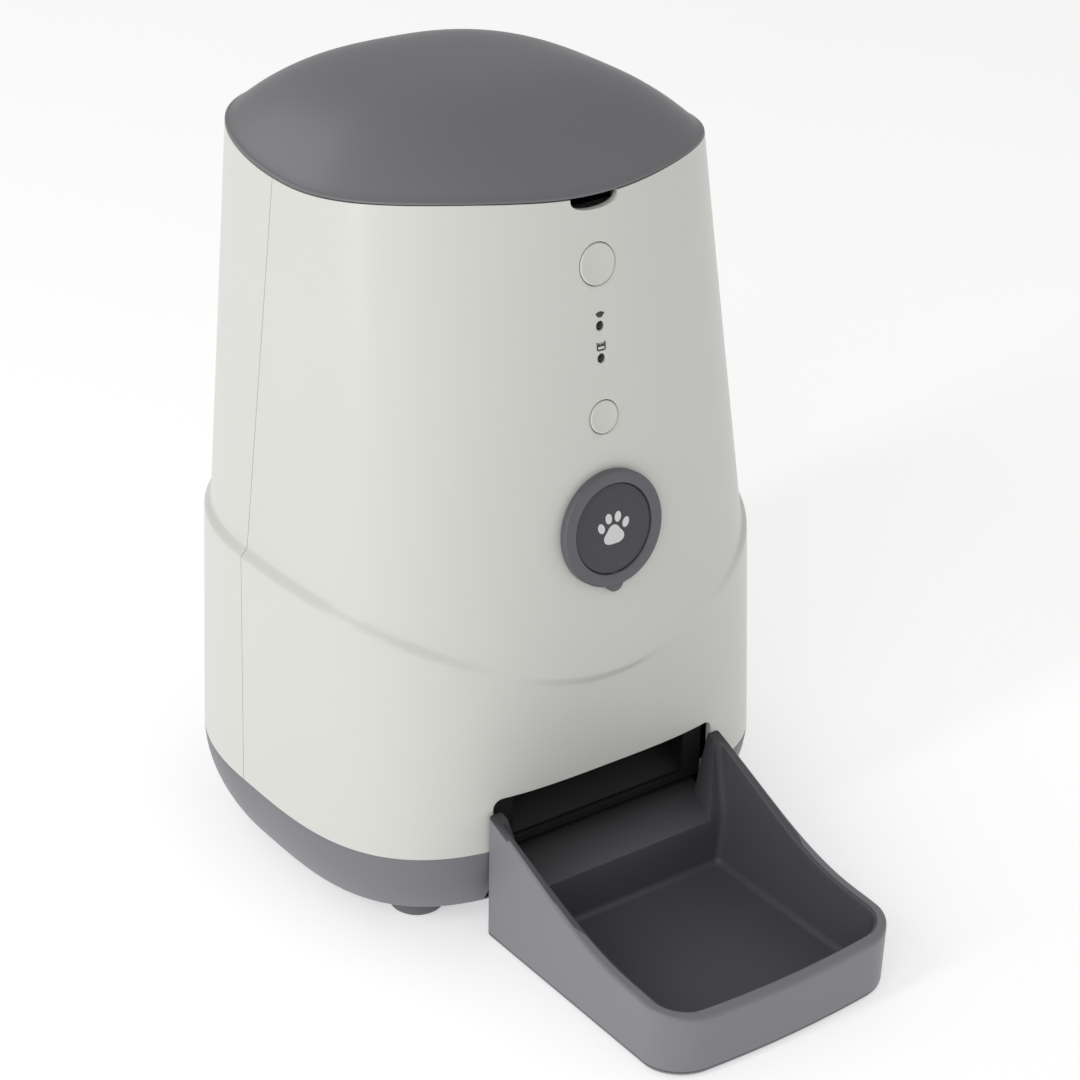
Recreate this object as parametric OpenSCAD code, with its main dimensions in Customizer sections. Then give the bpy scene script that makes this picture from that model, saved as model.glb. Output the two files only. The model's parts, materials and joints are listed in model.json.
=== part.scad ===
// Automatic pet feeder: a domed lid on a tapered two-part body, a raised base and a
// pull-out food tray. A hopper feeds a six-vane dosing rotor, and a chute leads to the tray.
// Millimetres, +Z up, front towards -Y. The origin is on the floor, below the middle of
// the whole feeder. Modules are written about the body's own axis, and place() moves them.

/* [Body] */
// Height of the lid's top above the floor
total_h = 310; // [295:1:375]
// Height of the body's rim at its corners
rim_z = 284.6; // [270:0.1:345]
// How much lower the rim is in the middle of each side
rim_wave = 3.2; // [0:0.1:5]
// Half width of the body at the rim
rim_half = 85.1; // [84:0.1:102]
// Front depth of the rim, from the body's axis
rim_front = 68.5; // [67:0.1:80]
// Rear depth of the rim, from the body's axis
rim_back = 97.1; // [86:0.1:116]
// How far the rim's centre leans towards the front
lean = 6.3; // [0:0.1:8]
// Height of the ledge at the sides and the rear
ledge_z = 135; // [126:0.1:150]
// How far the ledge sweeps down at the front
ledge_drop = 37; // [10:0.1:42]
// Height of the sloped band of the ledge
ledge_rise = 4.5; // [2:0.1:8]
// How far the lower body stands out below the ledge
ledge_step = 2.4; // [1:0.1:4]
// Half width of the body just above the ledge
waist_half = 99.8; // [98:0.1:120]
// Front depth of the body just above the ledge
waist_front = 91.7; // [90:0.1:108]
// Rear depth of the body just above the ledge
waist_back = 92.1; // [84:0.1:110]
// Height of the seam between the base and the body
border_z = 38.7; // [36:0.1:46]
// Half width of the body at the base
foot_half = 103.6; // [102:0.1:124]
// Front depth of the body at the base
foot_front = 98.4; // [95:0.1:116]
// Rear depth of the body at the base
foot_back = 90.5; // [84:0.1:108]
// Thickness of the body's walls
wall = 2.5; // [2:0.1:3]
// Gap along the seam between the two body shells
seam_gap = 0.3; // [0.1:0.05:0.6]

/* [Base] */
// Height of the feet, which is the gap under the base
feet_h = 9.5; // [6:0.1:14]
// Diameter of each foot
feet_d = 22; // [14:0.5:24]
// Half the distance between the two front feet
feet_x = 63; // [50:0.5:66]
// Half the distance between the two rear feet
rear_feet_x = 57; // [50:0.5:60]
// Distance of the front feet in front of the body's axis
feet_front = 60.5; // [50:0.5:64]
// Distance of the rear feet behind the body's axis
feet_back = 56; // [40:0.5:60]
// How far the skirt of the base curves in at its bottom
skirt_inset = 9.6; // [4:0.1:12]

/* [Tray] */
// Half width of the tray
tray_half = 55.5; // [50:0.1:62]
// Distance from the body's axis to the front of the tray
tray_reach = 209; // [185:0.1:235]
// Gap between the tray and the floor
tray_gap = 0.8; // [0.5:0.1:2]
// Height of the tray's rim at the front
tray_low = 25.5; // [20:0.5:34]
// Height of the tray's rim next to the body
tray_high = 56; // [46:0.5:58]
// Wall thickness of the tray at its rim
tray_wall = 3; // [2:0.1:4]
// Thickness of the tray's floor
tray_floor = 2.4; // [2:0.1:4]
// Height of the step between the tray's floor and its ramp
tray_step = 24; // [16:0.5:28]
// Radius of the tray's front corners
tray_corner = 17; // [8:0.5:24]
// How far the tray's front bulges out
tray_bulge = 3.4; // [1:0.1:6]
// Distance of the tray's rear wall in front of the body
tray_porch = 10.4; // [6:0.1:14]
// How far the tray's rear wall leans back above the step
tray_lean = 9; // [4:0.5:10]
// Half width of the passage through the tray's rear wall
passage_half = 43; // [36:0.5:46]
// How much the passage widens to each side up to the rim
passage_flare = 7; // [2:0.5:8]
// How far the tray pulls out
tray_travel = 90; // [60:1:120]

/* [Outlet] */
// Half width of the outlet in the body
outlet_half = 52.4; // [48:0.1:54]
// Height of the outlet's top edge
outlet_top = 60.5; // [58:0.1:64]
// Corner radius of the outlet
outlet_r = 4; // [2:0.5:6]

/* [Front controls] */
// Diameter of the feed button
feed_d = 15.4; // [10:0.1:18]
// Height of the feed button
feed_z = 257; // [250:0.5:262]
// Diameter of the link button
link_d = 12.4; // [8:0.1:16]
// Height of the link button
link_z = 200.5; // [195:0.5:208]
// Radial gap round each button
button_gap = 0.3; // [0.2:0.05:0.5]
// Travel of each button
button_travel = 1.2; // [0.6:0.1:1.6]
// Diameter of the indicator lights
light_d = 3.2; // [2:0.1:5]
// Height of the network light
net_light_z = 234.5; // [230:0.5:238]
// Height of the food light
food_light_z = 222.5; // [216:0.5:226]
// Outer diameter of the round front cap
cap_d = 44.8; // [36:0.2:50]
// Diameter of the disc in the cap
disc_d = 34.6; // [26:0.2:38]
// Height of the cap's centre
cap_z = 158.5; // [150:0.5:166]
// How far the cap stands out from the body
cap_proud = 3.4; // [2:0.1:5]
// Width of the finger notch under the lid
notch_w = 21; // [14:0.5:26]
// Depth of the finger notch under the rim
notch_h = 4.6; // [3:0.1:6]

/* [Hopper] */
// Inner width of the hopper's bucket
hopper_w = 140; // [130:1:144]
// Inner depth of the hopper's bucket
hopper_d = 124; // [110:1:126]
// Corner radius inside the bucket
hopper_r = 40; // [36:1:50]
// Height of the hopper's top face
hopper_top = 270; // [262:0.5:272]
// Height where the bucket turns into the funnel
funnel_z = 174; // [165:1:190]
// Wall thickness of the hopper
hopper_wall = 2; // [1.5:0.1:2.5]

/* [Dosing] */
// Inner radius of the dosing chamber
chamber_r = 56; // [48:0.5:58]
// Inner height of the dosing chamber
chamber_h = 24; // [18:0.5:26]
// Height of the chassis plate's underside
chassis_z = 103; // [100:0.5:106]
// Thickness of the chassis plate
chassis_t = 3; // [2:0.1:4]
// Number of vanes on the rotor
vanes = 6; // [4:1:8]
// Radius of the rotor's shaft
shaft_r = 3; // [2:0.1:3.2]
// Radial clearance of every shaft in its hole
fit_gap = 0.06; // [0.02:0.01:0.1]
// Width of the drop hole to the chute
drop_w = 38; // [30:0.5:42]
// Module of the gears
gear_m = 1; // [0.9:0.05:1]
// Teeth of the large gears
gear_teeth = 30; // [28:1:30]
// Teeth of the small gears
pinion_teeth = 12; // [12:1:13]
// Width of the gears
gear_w = 5; // [4:0.5:6]

/* [Power] */
// Diameter of a battery cell
cell_d = 26; // [22:0.1:27]
// Length of a battery cell
cell_l = 50; // [44:0.1:54]
// Radius of the power inlet's sleeve
inlet_r = 4.5; // [3:0.1:6]

/* [Hidden] */
$fn = 48;

// Segments round a full ring, and round half of it
ring_n = 80;
half_n = 44;
// Roundness of the plan: 2 is an ellipse, more is squarer
rim_n = [2.31, 2.41];
waist_n = [2.84, 2.23];
foot_n = [3.39, 2.36];
// Curvature of the dome, and of the ledge's sweep
dome_power = 3;
ledge_power = 3.2;
// Clearances
slide_gap = 0.4;
snug = 0.2;
// Thickness of circuit boards
board_t = 1.6;

rim_size = [rim_half, rim_front, rim_back, rim_n[0], rim_n[1]];
waist_size = [waist_half, waist_front, waist_back, waist_n[0], waist_n[1]];
hip_size = blend_size(waist_size, waist_size, 0, -ledge_step);
foot_size = [foot_half, foot_front, foot_back, foot_n[0], foot_n[1]];

dome_h = total_h - rim_z + rim_wave / 2;
rear_reach = max(foot_back, hip_size[2] + centre_y(ledge_z), rim_back + centre_y(rim_z));
body_y = (tray_reach - rear_reach) / 2;
base_z = feet_h;
pan_floor = base_z + wall;
lip_depth = 7;
lip_t = 2;
deck_z = chassis_z + chassis_t;
chamber_floor = deck_z + 3;
chamber_top = chamber_floor + chamber_h;
cover_t = 2.5;
throat_z = chamber_top + cover_t + snug;
rotor_y = -4;
drop_y = rotor_y - chamber_r + 19;
hopper_y = 8;
gear_gap = gear_m * (gear_teeth + pinion_teeth) / 2;
idler_y = rotor_y + gear_gap;
motor_y = idler_y + gear_gap;
gear_low = chassis_z - 16;
gear_high = gear_low + gear_w + 1.5;
case_z = gear_low - 3;
case_top = chassis_z - 2;
case_r = gear_m * (gear_teeth / 2 + 1) + 3;
motor_r = 12;
motor_h = 30;
chute_half = 41;
bay_half = outlet_half - 2;
front_tilt = atan((front_y(rim_z) - front_y(ledge_z)) / (rim_z - ledge_z));
tray_rear_y = -(lower_front(bay_half) + slide_gap);
tray_wall_y = -foot_front - tray_porch;
door_w = 3 * cell_d + 8;
door_d = cell_l + 12;
door_y = 20;
box_top = pan_floor + cell_d + 4;
feet_places = [for (x = [-1, 1]) each [[x * feet_x, -feet_front], [x * rear_feet_x, feet_back]]];
post_x = 76;
post_y = [-26, 42];
boss_z = [70, 118, 190, 250];

// ---- outline of the body ----

function mix(a, b, t) = a + (b - a) * t;

// Rounded outline at polar angle phi; size holds half width, front, back and roundness.
function outline_r(size, phi) =
    let (front = sin(phi) < 0, d = front ? size[1] : size[2], n = front ? size[3] : size[4])
    pow(pow(abs(cos(phi)) / size[0], n) + pow(abs(sin(phi)) / d, n), -1 / n);

function blend_size(low, high, t, inset) = [
    mix(low[0], high[0], t) - inset, mix(low[1], high[1], t) - inset,
    mix(low[2], high[2], t) - inset, mix(low[3], high[3], t), mix(low[4], high[4], t)
];

function upper_size(z, inset = 0) =
    blend_size(waist_size, rim_size, (z - ledge_z) / (rim_z - ledge_z), inset);
function lower_size(z, inset = 0) =
    blend_size(foot_size, hip_size, (z - border_z) / (ledge_z - border_z), inset);
function base_size(z, inset = 0) =
    let (t = (border_z - z) / (border_z - base_z))
    blend_size(foot_size, foot_size, 0, inset + skirt_inset * t * t);

function centre_y(z) = -lean * max(0, z - border_z) / (rim_z - border_z);
function rim_h(phi) = rim_z - rim_wave * (1 + cos(4 * phi)) / 2;
function ledge_h(phi) = ledge_z - ledge_drop * pow(max(0, -sin(phi)), ledge_power);
function outline_point(size, z, phi) =
    let (r = outline_r(size, phi)) [r * cos(phi), centre_y(z) + r * sin(phi), z];

// Depth of the front at the middle of the upper body, and of the lower body at x
function front_y(z) = centre_y(z) - upper_size(z)[1];
function lower_front(x) =
    foot_front * pow(1 - pow(x / foot_half, foot_n[0]), 1 / foot_n[0]);

module place() translate([0, body_y, 0]) children();

// Moves to the middle of the front at height z, with local +Y pointing into the body
module on_front(z) translate([0, front_y(z), z]) rotate([-front_tilt, 0, 0]) children();

// A rod along local +Y
module rod(r, y0, y1) translate([0, y0, 0]) rotate([-90, 0, 0]) cylinder(r = r, h = y1 - y0);

module rounded_rect(w, d, r) {
    square([w - 2 * r, d], center = true);
    square([w, d - 2 * r], center = true);
    for (x = [-1, 1], y = [-1, 1]) translate([x * (w / 2 - r), y * (d / 2 - r)]) circle(r);
}

module rounded_plate(w, d, h, r) linear_extrude(height = h) rounded_rect(w, d, r);

module tube(ro, ri, h) difference() {
    cylinder(r = ro, h = h);
    translate([0, 0, -1]) cylinder(r = ri, h = h + 2);
}

// ---- lofted solids ----

// Two triangles between neighbouring points i and i + 1 of rows a and b
function quad(a, b, i, j, n) = [[a * n + i, b * n + j, a * n + j], [a * n + i, b * n + i, b * n + j]];

// Solid from full rings of n points, listed from the bottom up the outside and down the inside
module ring_solid(rings, n, bottom, top) {
    rows = len(rings);
    first = rows * n;
    polyhedron(
        points = concat([for (ring = rings) each ring], [bottom, top]),
        faces = concat(
            [for (i = [0:n - 1]) [first, i, (i + 1) % n]],
            [for (k = [0:rows - 2], i = [0:n - 1]) each quad(k, k + 1, i, (i + 1) % n, n)],
            [for (i = [0:n - 1]) [first + 1, (rows - 1) * n + (i + 1) % n, (rows - 1) * n + i]]));
}

// Ring-shaped solid: like ring_solid, but the last ring joins the first
module hoop_solid(rings, n) {
    rows = len(rings);
    polyhedron(
        points = [for (ring = rings) each ring],
        faces = [for (k = [0:rows - 1], i = [0:n - 1])
            each quad(k, (k + 1) % rows, i, (i + 1) % n, n)]);
}

// Open wall: each level is an outer row of points followed by its inner row in reverse
module wall_solid(levels) {
    rows = len(levels);
    n = len(levels[0]);
    last = (rows - 1) * n;
    polyhedron(
        points = [for (level = levels) each level],
        faces = concat(
            [for (k = [0:rows - 2], i = [0:n - 1]) each quad(k, k + 1, i, (i + 1) % n, n)],
            [for (i = [0:n / 2 - 2]) each
                [[i, n - 2 - i, n - 1 - i], [i, i + 1, n - 2 - i]]],
            [for (i = [0:n / 2 - 2]) each
                [[last + i, last + n - 1 - i, last + n - 2 - i],
                 [last + i, last + n - 2 - i, last + i + 1]]]));
}

// ---- body shells ----

// Angle at which a wall of half width a meets the seam plane at y
function seam_angle(a, z, y) = asin((y - centre_y(z)) / a);

// Height and size of the shell's level k, at angle phi: 0 to 4 below the ledge, 5 to 12 above
function level_z(k, phi) =
    k <= 4 ? mix(border_z, ledge_h(phi), k / 4)
           : mix(ledge_h(phi) + ledge_rise, rim_h(phi), (k - 5) / 7);
function level_size(k, z, inset) = k <= 4 ? lower_size(z, inset) : upper_size(z, inset);

// Point on level k at fraction t of the half ring; side is -1 for the front, 1 for the rear
function shell_point(k, t, side, inset) =
    let (guess = side < 0 ? 180 + 180 * t : 180 * t,
         a = level_size(k, level_z(k, guess), inset)[0],
         s = seam_angle(a, level_z(k, guess), side * seam_gap / 2),
         phi = side < 0 ? mix(180 - s, 360 + s, t) : mix(s, 180 - s, t),
         z = level_z(k, phi))
    outline_point(level_size(k, z, inset), z, phi);

module half_shell(side) wall_solid([for (k = [0:12]) concat(
    [for (i = [0:half_n]) shell_point(k, i / half_n, side, 0)],
    [for (i = [half_n:-1:0]) shell_point(k, i / half_n, side, wall)])]);

// Bosses along the seam for the shell screws
module seam_bosses(y0, y1, r) for (z = boss_z, x = [-1, 1])
    translate([x * (inner_half(z) - 3.6), 0, z]) rod(r, y0, y1);
function inner_half(z) = (z < ledge_z ? lower_size(z) : upper_size(z))[0] - wall;

module front_shell() color([0.85, 0.85, 0.83]) difference() {
    union() {
        half_shell(-1);
        seam_bosses(-11, -seam_gap / 2, 4.2);
    }
    seam_bosses(-9, 1, 1.3);
    finger_notch();
    outlet_cut();
    on_front(feed_z) rod(feed_d / 2 + button_gap, -4, 8);
    on_front(link_z) rod(link_d / 2 + button_gap, -4, 8);
    for (z = [net_light_z, food_light_z]) on_front(z) rod(light_d / 2 + snug, -4, 8);
    on_front(cap_z) rod(cap_d / 2 - 8, -4, 8);
}

// The notch is a crescent under the lid; its power makes the lower edge flatter than an ellipse
notch_power = 0.75;
module notch_plan(w) polygon(concat([for (a = [180:10:360])
    [w / 2 * cos(a), -notch_h * pow(-sin(a), notch_power)]], [[w / 2, 14], [-w / 2, 14]]));

module finger_notch() translate([0, front_y(rim_h(270)) + 9, rim_h(270)]) rotate([90, 0, 0])
    linear_extrude(height = 18) notch_plan(notch_w);

// Room behind the notch, where the lid has no lip
module lip_gap() translate([-notch_w / 2 - 1, front_y(rim_z) - 3, rim_h(270) - lip_depth - 1])
    cube([notch_w + 2, 15, lip_depth + 1.15]);

module outlet_cut() translate([0, -foot_front - 10, 0]) rotate([-90, 0, 0]) mirror([0, 1, 0])
    linear_extrude(height = 40) translate([0, outlet_top / 2])
        rounded_rect(2 * outlet_half, outlet_top, outlet_r);

module rear_shell() color([0.83, 0.83, 0.81]) difference() {
    union() {
        half_shell(1);
        seam_bosses(seam_gap / 2, 11, 4.2);
    }
    seam_bosses(-1, 12, 1.7);
    seam_bosses(8, 12, 3.2);
}

module shell_screws() color([0.7, 0.7, 0.72]) for (z = boss_z, x = [-1, 1])
    translate([x * (inner_half(z) - 3.6), 0, z]) {
        rod(1.25, -8, 8);
        rod(2.9, 8, 10.5);
    }

// ---- base ----

function base_ring(z, inset) = [for (i = [0:ring_n - 1])
    outline_point(base_size(min(z, border_z), inset), 0, 360 * i / ring_n) + [0, 0, z]];
// Ring of the base's lip, which follows the inside of the shells above the border
function base_lip_ring(z, inset) = [for (i = [0:ring_n - 1])
    outline_point(lower_size(z, inset), z, 360 * i / ring_n)];

module base_pan() color([0.45, 0.45, 0.46]) difference() {
    union() {
        ring_solid(concat(
            [for (k = [0:6]) base_ring(mix(base_z, border_z, k / 6), 0)],
            [base_ring(border_z, wall + snug), base_lip_ring(border_z + 3, wall + snug),
             base_lip_ring(border_z + 3, wall + snug + 1.2), base_ring(border_z, wall + snug + 1.2)],
            [for (k = [5:-1:0]) base_ring(mix(pan_floor, border_z, k / 6), wall + snug + 1.2)]),
            ring_n, [0, 0, base_z], [0, 0, pan_floor]);
        for (x = [-1, 1], y = post_y) translate([x * post_x, y, pan_floor - 1])
            cylinder(r = 5.5, h = 5);
    }
    tray_bay();
    translate([-door_w / 2, door_y - door_d / 2, base_z - 1]) cube([door_w, door_d, wall + 2]);
    for (x = [-1, 1], y = post_y) translate([x * post_x, y, 0]) {
        translate([0, 0, base_z - 1]) cylinder(r = 1.9, h = 20);
        translate([0, 0, base_z - 1]) cylinder(r = 3.6, h = 3.2);
    }
    for (p = feet_places) translate([p[0], p[1], base_z - 1]) cylinder(r = 3, h = 6);
    translate([0, 0, inlet_z]) rod(inlet_r + 1 + snug, foot_back - 20, foot_back + 10);
}
inlet_z = 26;

// Room in the front of the base for the tray's tongue and ramp
module tray_bay() translate([-bay_half, -foot_front - 10, pan_floor]) cube([2 * bay_half, 45, 40]);

module feet() color([0.43, 0.43, 0.45])
    for (p = feet_places) translate([p[0], p[1], 0]) {
        cylinder(r1 = feet_d / 2 - 1.2, r2 = feet_d / 2, h = 1.2);
        translate([0, 0, 1.2]) cylinder(r = feet_d / 2, h = feet_h - 1.2);
        translate([0, 0, feet_h - 0.01]) cylinder(r = 2.9, h = wall + 1);
    }

module base_screws() color([0.7, 0.7, 0.72])
    for (x = [-1, 1], y = post_y) translate([x * post_x, y, base_z]) {
        translate([0, 0, 0.2]) cylinder(r = 3.2, h = 1.8);
        translate([0, 0, 1.9]) cylinder(r = 1.5, h = 14);
    }

// ---- lid ----

lid_middle = centre_y(rim_z) + (rim_back - rim_front) / 2;
lid_gap = 0.25;

// Ring of the dome at fraction k of its radius, for a wall set in by inset
function dome_ring(k, inset) = [for (i = [0:ring_n - 1])
    let (phi = 360 * i / ring_n, p = outline_point(upper_size(rim_z, inset), rim_z, phi),
         edge = rim_h(phi) + lid_gap, mid = rim_z - rim_wave / 2)
    [p[0] * k, lid_middle + (p[1] - lid_middle) * k,
     mix(mid, edge, pow(k, 3)) + (dome_h - inset) * (1 - pow(k, dome_power))]];

// Ring at a fixed distance below the rim
function rim_ring(drop, inset) = [for (i = [0:ring_n - 1])
    let (phi = 360 * i / ring_n, p = outline_point(upper_size(rim_z, inset), rim_z, phi))
    [p[0], p[1], rim_h(phi) + lid_gap - drop]];

module lid() color([0.44, 0.44, 0.45]) difference() {
    lid_dome();
    lip_gap();
}

module lid_dome() ring_solid(concat(
    [for (k = [0.25, 0.5, 0.7, 0.86]) dome_ring(k, wall)],
    [rim_ring(-0.6, wall + slide_gap + lip_t), rim_ring(lip_depth, wall + slide_gap + lip_t),
     rim_ring(lip_depth, wall + slide_gap), rim_ring(0, wall + slide_gap)],
    [for (k = [1, 0.985, 0.96, 0.92, 0.86, 0.78, 0.68, 0.56, 0.42, 0.27, 0.12]) dome_ring(k, 0)]),
    ring_n, [0, lid_middle, rim_z - rim_wave / 2 + dome_h - wall], [0, lid_middle, total_h]);

module lid_seal() color([0.75, 0.75, 0.74]) hoop_solid([
    rim_ring(lip_depth + 1.3, wall + slide_gap + lip_t), rim_ring(lip_depth + 1.3, wall + snug),
    rim_ring(lip_depth + 0.02, wall + snug), rim_ring(lip_depth + 0.02, wall + slide_gap + lip_t)],
    ring_n);

desiccant_r = 30;
desiccant_z = rim_z + 4;
desiccant_top = total_h - wall - dome_h * pow(desiccant_r / rim_front, dome_power) - 0.1;

module desiccant_cup() color([0.92, 0.92, 0.92]) translate([0, lid_middle, 0]) {
    translate([0, 0, desiccant_z + 3]) tube(desiccant_r, desiccant_r - 1.6, desiccant_top - desiccant_z - 3);
    translate([0, 0, desiccant_top - 2]) cylinder(r = desiccant_r - 1, h = 2);
}

module desiccant_cover() color([0.92, 0.92, 0.92])
    translate([0, lid_middle, desiccant_z]) difference() {
        union() {
            cylinder(r = desiccant_r, h = 2.5);
            translate([0, 0, 2.4]) tube(desiccant_r - 1.6 - snug, desiccant_r - 4, 4);
        }
        for (i = [-2:2], j = [-2:2]) if (abs(i) + abs(j) < 4)
            translate([i * 8, j * 8, -1]) cylinder(r = 2, h = 5);
        translate([-12, -1, -1]) cube([24, 2, 2]);
    }

// ---- hopper ----

module hopper() color([0.9, 0.9, 0.88]) {
    w = hopper_w + 2 * hopper_wall;
    d = hopper_d + 2 * hopper_wall;
    difference() {
        union() {
            translate([0, hopper_y, funnel_z]) rounded_plate(w, d, hopper_top - funnel_z, hopper_r + hopper_wall);
            translate([0, 0, hopper_top - 2.5]) linear_extrude(height = 2.5) hopper_deck();
            funnel(w, d, hopper_r + hopper_wall, chamber_r - 2 + hopper_wall);
            translate([0, rotor_y, throat_z]) cylinder(r = chamber_r + wall, h = 2.5);
        }
        translate([0, hopper_y, funnel_z - 0.01])
            rounded_plate(hopper_w, hopper_d, hopper_top - funnel_z + 1, hopper_r);
        funnel(hopper_w, hopper_d, hopper_r, chamber_r - 2);
        translate([0, rotor_y, throat_z - 1]) cylinder(r = chamber_r - 2, h = 4);
    }
}

// Flat deck that closes the gap between the bucket and the shells
module hopper_deck() polygon([for (i = [0:ring_n - 1])
    let (p = outline_point(upper_size(hopper_top, wall + slide_gap), hopper_top, 360 * i / ring_n))
    [p[0], p[1]]]);

module funnel(w, d, r, throat_r) hull() {
    translate([0, hopper_y, funnel_z - 0.02]) rounded_plate(w, d, 0.04, r);
    translate([0, rotor_y, throat_z + 2]) cylinder(r = throat_r, h = 0.04);
}

// ---- dosing mechanism ----

module chassis() color([0.3, 0.3, 0.32]) difference() {
    union() {
        translate([0, 0, chassis_z]) linear_extrude(height = chassis_t) chassis_outline();
        for (x = [-1, 1], y = post_y) translate([x * post_x, y, pan_floor + 4])
            cylinder(r = 5, h = chassis_z - pan_floor - 3.9);
    }
    for (x = [-1, 1], y = post_y) translate([x * post_x, y, pan_floor + 3])
        cylinder(r = 1.5 + snug / 2, h = 14);
    translate([0, rotor_y, chassis_z - 1]) cylinder(r = shaft_r + 1, h = 10);
    translate([-drop_w / 2 - 3, drop_y - 16, chassis_z - 1]) cube([drop_w + 6, 32, 10]);
}

module chassis_outline() polygon([for (i = [0:ring_n - 1])
    let (p = outline_point(upper_size(chassis_z, wall + 2.2), chassis_z, 360 * i / ring_n))
    [p[0], p[1]]]);

module drop_hole(h) translate([0, drop_y, -1]) rounded_plate(drop_w, 28, h, 4);

module dosing_chamber() color([0.86, 0.86, 0.85]) translate([0, 0, deck_z]) difference() {
    union() {
        translate([0, rotor_y, 0]) cylinder(r = chamber_r + wall, h = 3);
        translate([0, rotor_y, 2.99]) tube(chamber_r + wall, chamber_r, chamber_h + 0.01);
    }
    drop_hole(6);
    translate([0, rotor_y, -1]) cylinder(r = shaft_r + fit_gap, h = 6);
}

module chamber_cover() color([0.86, 0.86, 0.85]) translate([0, rotor_y, chamber_top]) difference() {
    cylinder(r = chamber_r + wall, h = cover_t);
    intersection() {
        translate([0, 0, -1]) cylinder(r = chamber_r - 3, h = cover_t + 2);
        translate([-chamber_r, -4, -1]) cube([2 * chamber_r, chamber_r + 4, cover_t + 2]);
    }
    translate([0, 0, -1]) cylinder(r = 11, h = cover_t + 2);
}

rotor_h = chamber_h - 2;

module rotor() color([0.93, 0.93, 0.92]) translate([0, rotor_y, chamber_floor + 0.8]) difference() {
    union() {
        cylinder(r = 10, h = rotor_h);
        for (i = [0:vanes - 1]) rotate([0, 0, i * 360 / vanes])
            translate([8, -1.5, 0]) cube([chamber_r - 15, 3, rotor_h]);
    }
    translate([0, 0, -1]) cylinder(r = shaft_r, h = rotor_h + 2);
}

module rotor_wipers() color([0.2, 0.2, 0.2]) translate([0, rotor_y, chamber_floor + 1.2])
    for (i = [0:vanes - 1]) rotate([0, 0, i * 360 / vanes])
        translate([chamber_r - 7, -0.8, 0]) cube([6.2, 1.6, rotor_h - 0.8]);

module stirrer() color([0.93, 0.93, 0.92]) translate([0, rotor_y, throat_z]) difference() {
    union() {
        cylinder(r = 8, h = 14);
        for (a = [0, 180]) rotate([0, 0, a]) translate([0, 0, 9]) rotate([0, 90, 0])
            cylinder(r = 2.5, h = 28);
    }
    translate([0, 0, -1]) cylinder(r = shaft_r, h = 12);
}

module rotor_shaft() color([0.75, 0.75, 0.76]) translate([0, rotor_y, case_z + 0.6])
    cylinder(r = shaft_r, h = throat_z + 10 - case_z);

// Involute tooth flank: radius at roll angle a, and angle swept there
function roll(rb, r) = sqrt(max(0, pow(r / rb, 2) - 1)) * 180 / PI;
function swept(rb, r) = roll(rb, r) - atan(roll(rb, r) * PI / 180);

// Spur gear outline with m module and n teeth; slack narrows each tooth
module gear_outline(n, slack = 0.14) {
    rp = gear_m * n / 2;
    rb = rp * cos(20);
    ro = rp + gear_m * 0.9;
    rr = rp - gear_m * 1.2;
    half = 90 / n - slack * 90 / (PI * rp) + swept(rb, rp);
    r0 = max(rb, rr + 0.05);
    polygon([for (i = [0:n - 1]) let (a = 360 * i / n) each concat(
        [rr * [cos(a - half - 0.4), sin(a - half - 0.4)]],
        [for (k = [0:3]) let (r = mix(r0, ro, k / 3), s = a - half + swept(rb, r)) r * [cos(s), sin(s)]],
        [for (k = [3:-1:0]) let (r = mix(r0, ro, k / 3), s = a + half - swept(rb, r)) r * [cos(s), sin(s)]],
        [rr * [cos(a + half + 0.4), sin(a + half + 0.4)]])]);
}

// Angle that puts a gap of the next gear along +Y of a gear with n teeth
function tooth_on_y(n) = 90 - 360 / n * floor(90 * n / 360);

module output_gear() color([0.9, 0.88, 0.8]) translate([0, rotor_y, gear_low]) difference() {
    union() {
        linear_extrude(height = gear_w) rotate([0, 0, tooth_on_y(gear_teeth)]) gear_outline(gear_teeth);
        cylinder(r = 5.5, h = gear_w + 1);
    }
    translate([0, 0, -1]) cylinder(r = shaft_r, h = gear_w + 3);
}

module idler_gear() color([0.9, 0.88, 0.8]) translate([0, idler_y, gear_low]) difference() {
    union() {
        linear_extrude(height = gear_w + 1.5) rotate([0, 0, -90 + 180 / pinion_teeth]) gear_outline(pinion_teeth);
        translate([0, 0, gear_w + 1.5]) linear_extrude(height = gear_w)
            rotate([0, 0, tooth_on_y(gear_teeth)]) gear_outline(gear_teeth);
    }
    translate([0, 0, -1]) cylinder(r = 1.5 + fit_gap, h = 3 * gear_w);
}

module idler_pin() color([0.75, 0.75, 0.76]) translate([0, idler_y, case_z + 0.4])
    cylinder(r = 1.5, h = case_top - case_z + 1);

module motor_pinion() color([0.85, 0.7, 0.4]) translate([0, motor_y, gear_high - 0.5]) difference() {
    linear_extrude(height = gear_w + 1) rotate([0, 0, -90 + 180 / pinion_teeth]) gear_outline(pinion_teeth);
    translate([0, 0, -1]) cylinder(r = 1, h = gear_w + 3);
}

module motor_shaft() color([0.75, 0.75, 0.76]) translate([0, motor_y, case_z - 6])
    cylinder(r = 1, h = gear_high + gear_w - case_z + 5);

module motor() color([0.65, 0.65, 0.67]) translate([0, motor_y, case_z - motor_h]) difference() {
    union() {
        cylinder(r = motor_r, h = motor_h);
        translate([0, 0, -2]) cylinder(r = 4, h = 2.01);
    }
    translate([0, 0, motor_h - 8]) cylinder(r = 1 + fit_gap, h = 10);
}

case_mid = (rotor_y + motor_y) / 2;

module case_outline(r) {
    translate([0, rotor_y]) circle(r);
    translate([0, motor_y]) circle(r);
    translate([0, case_mid]) square([2 * r, motor_y - rotor_y], center = true);
}

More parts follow.
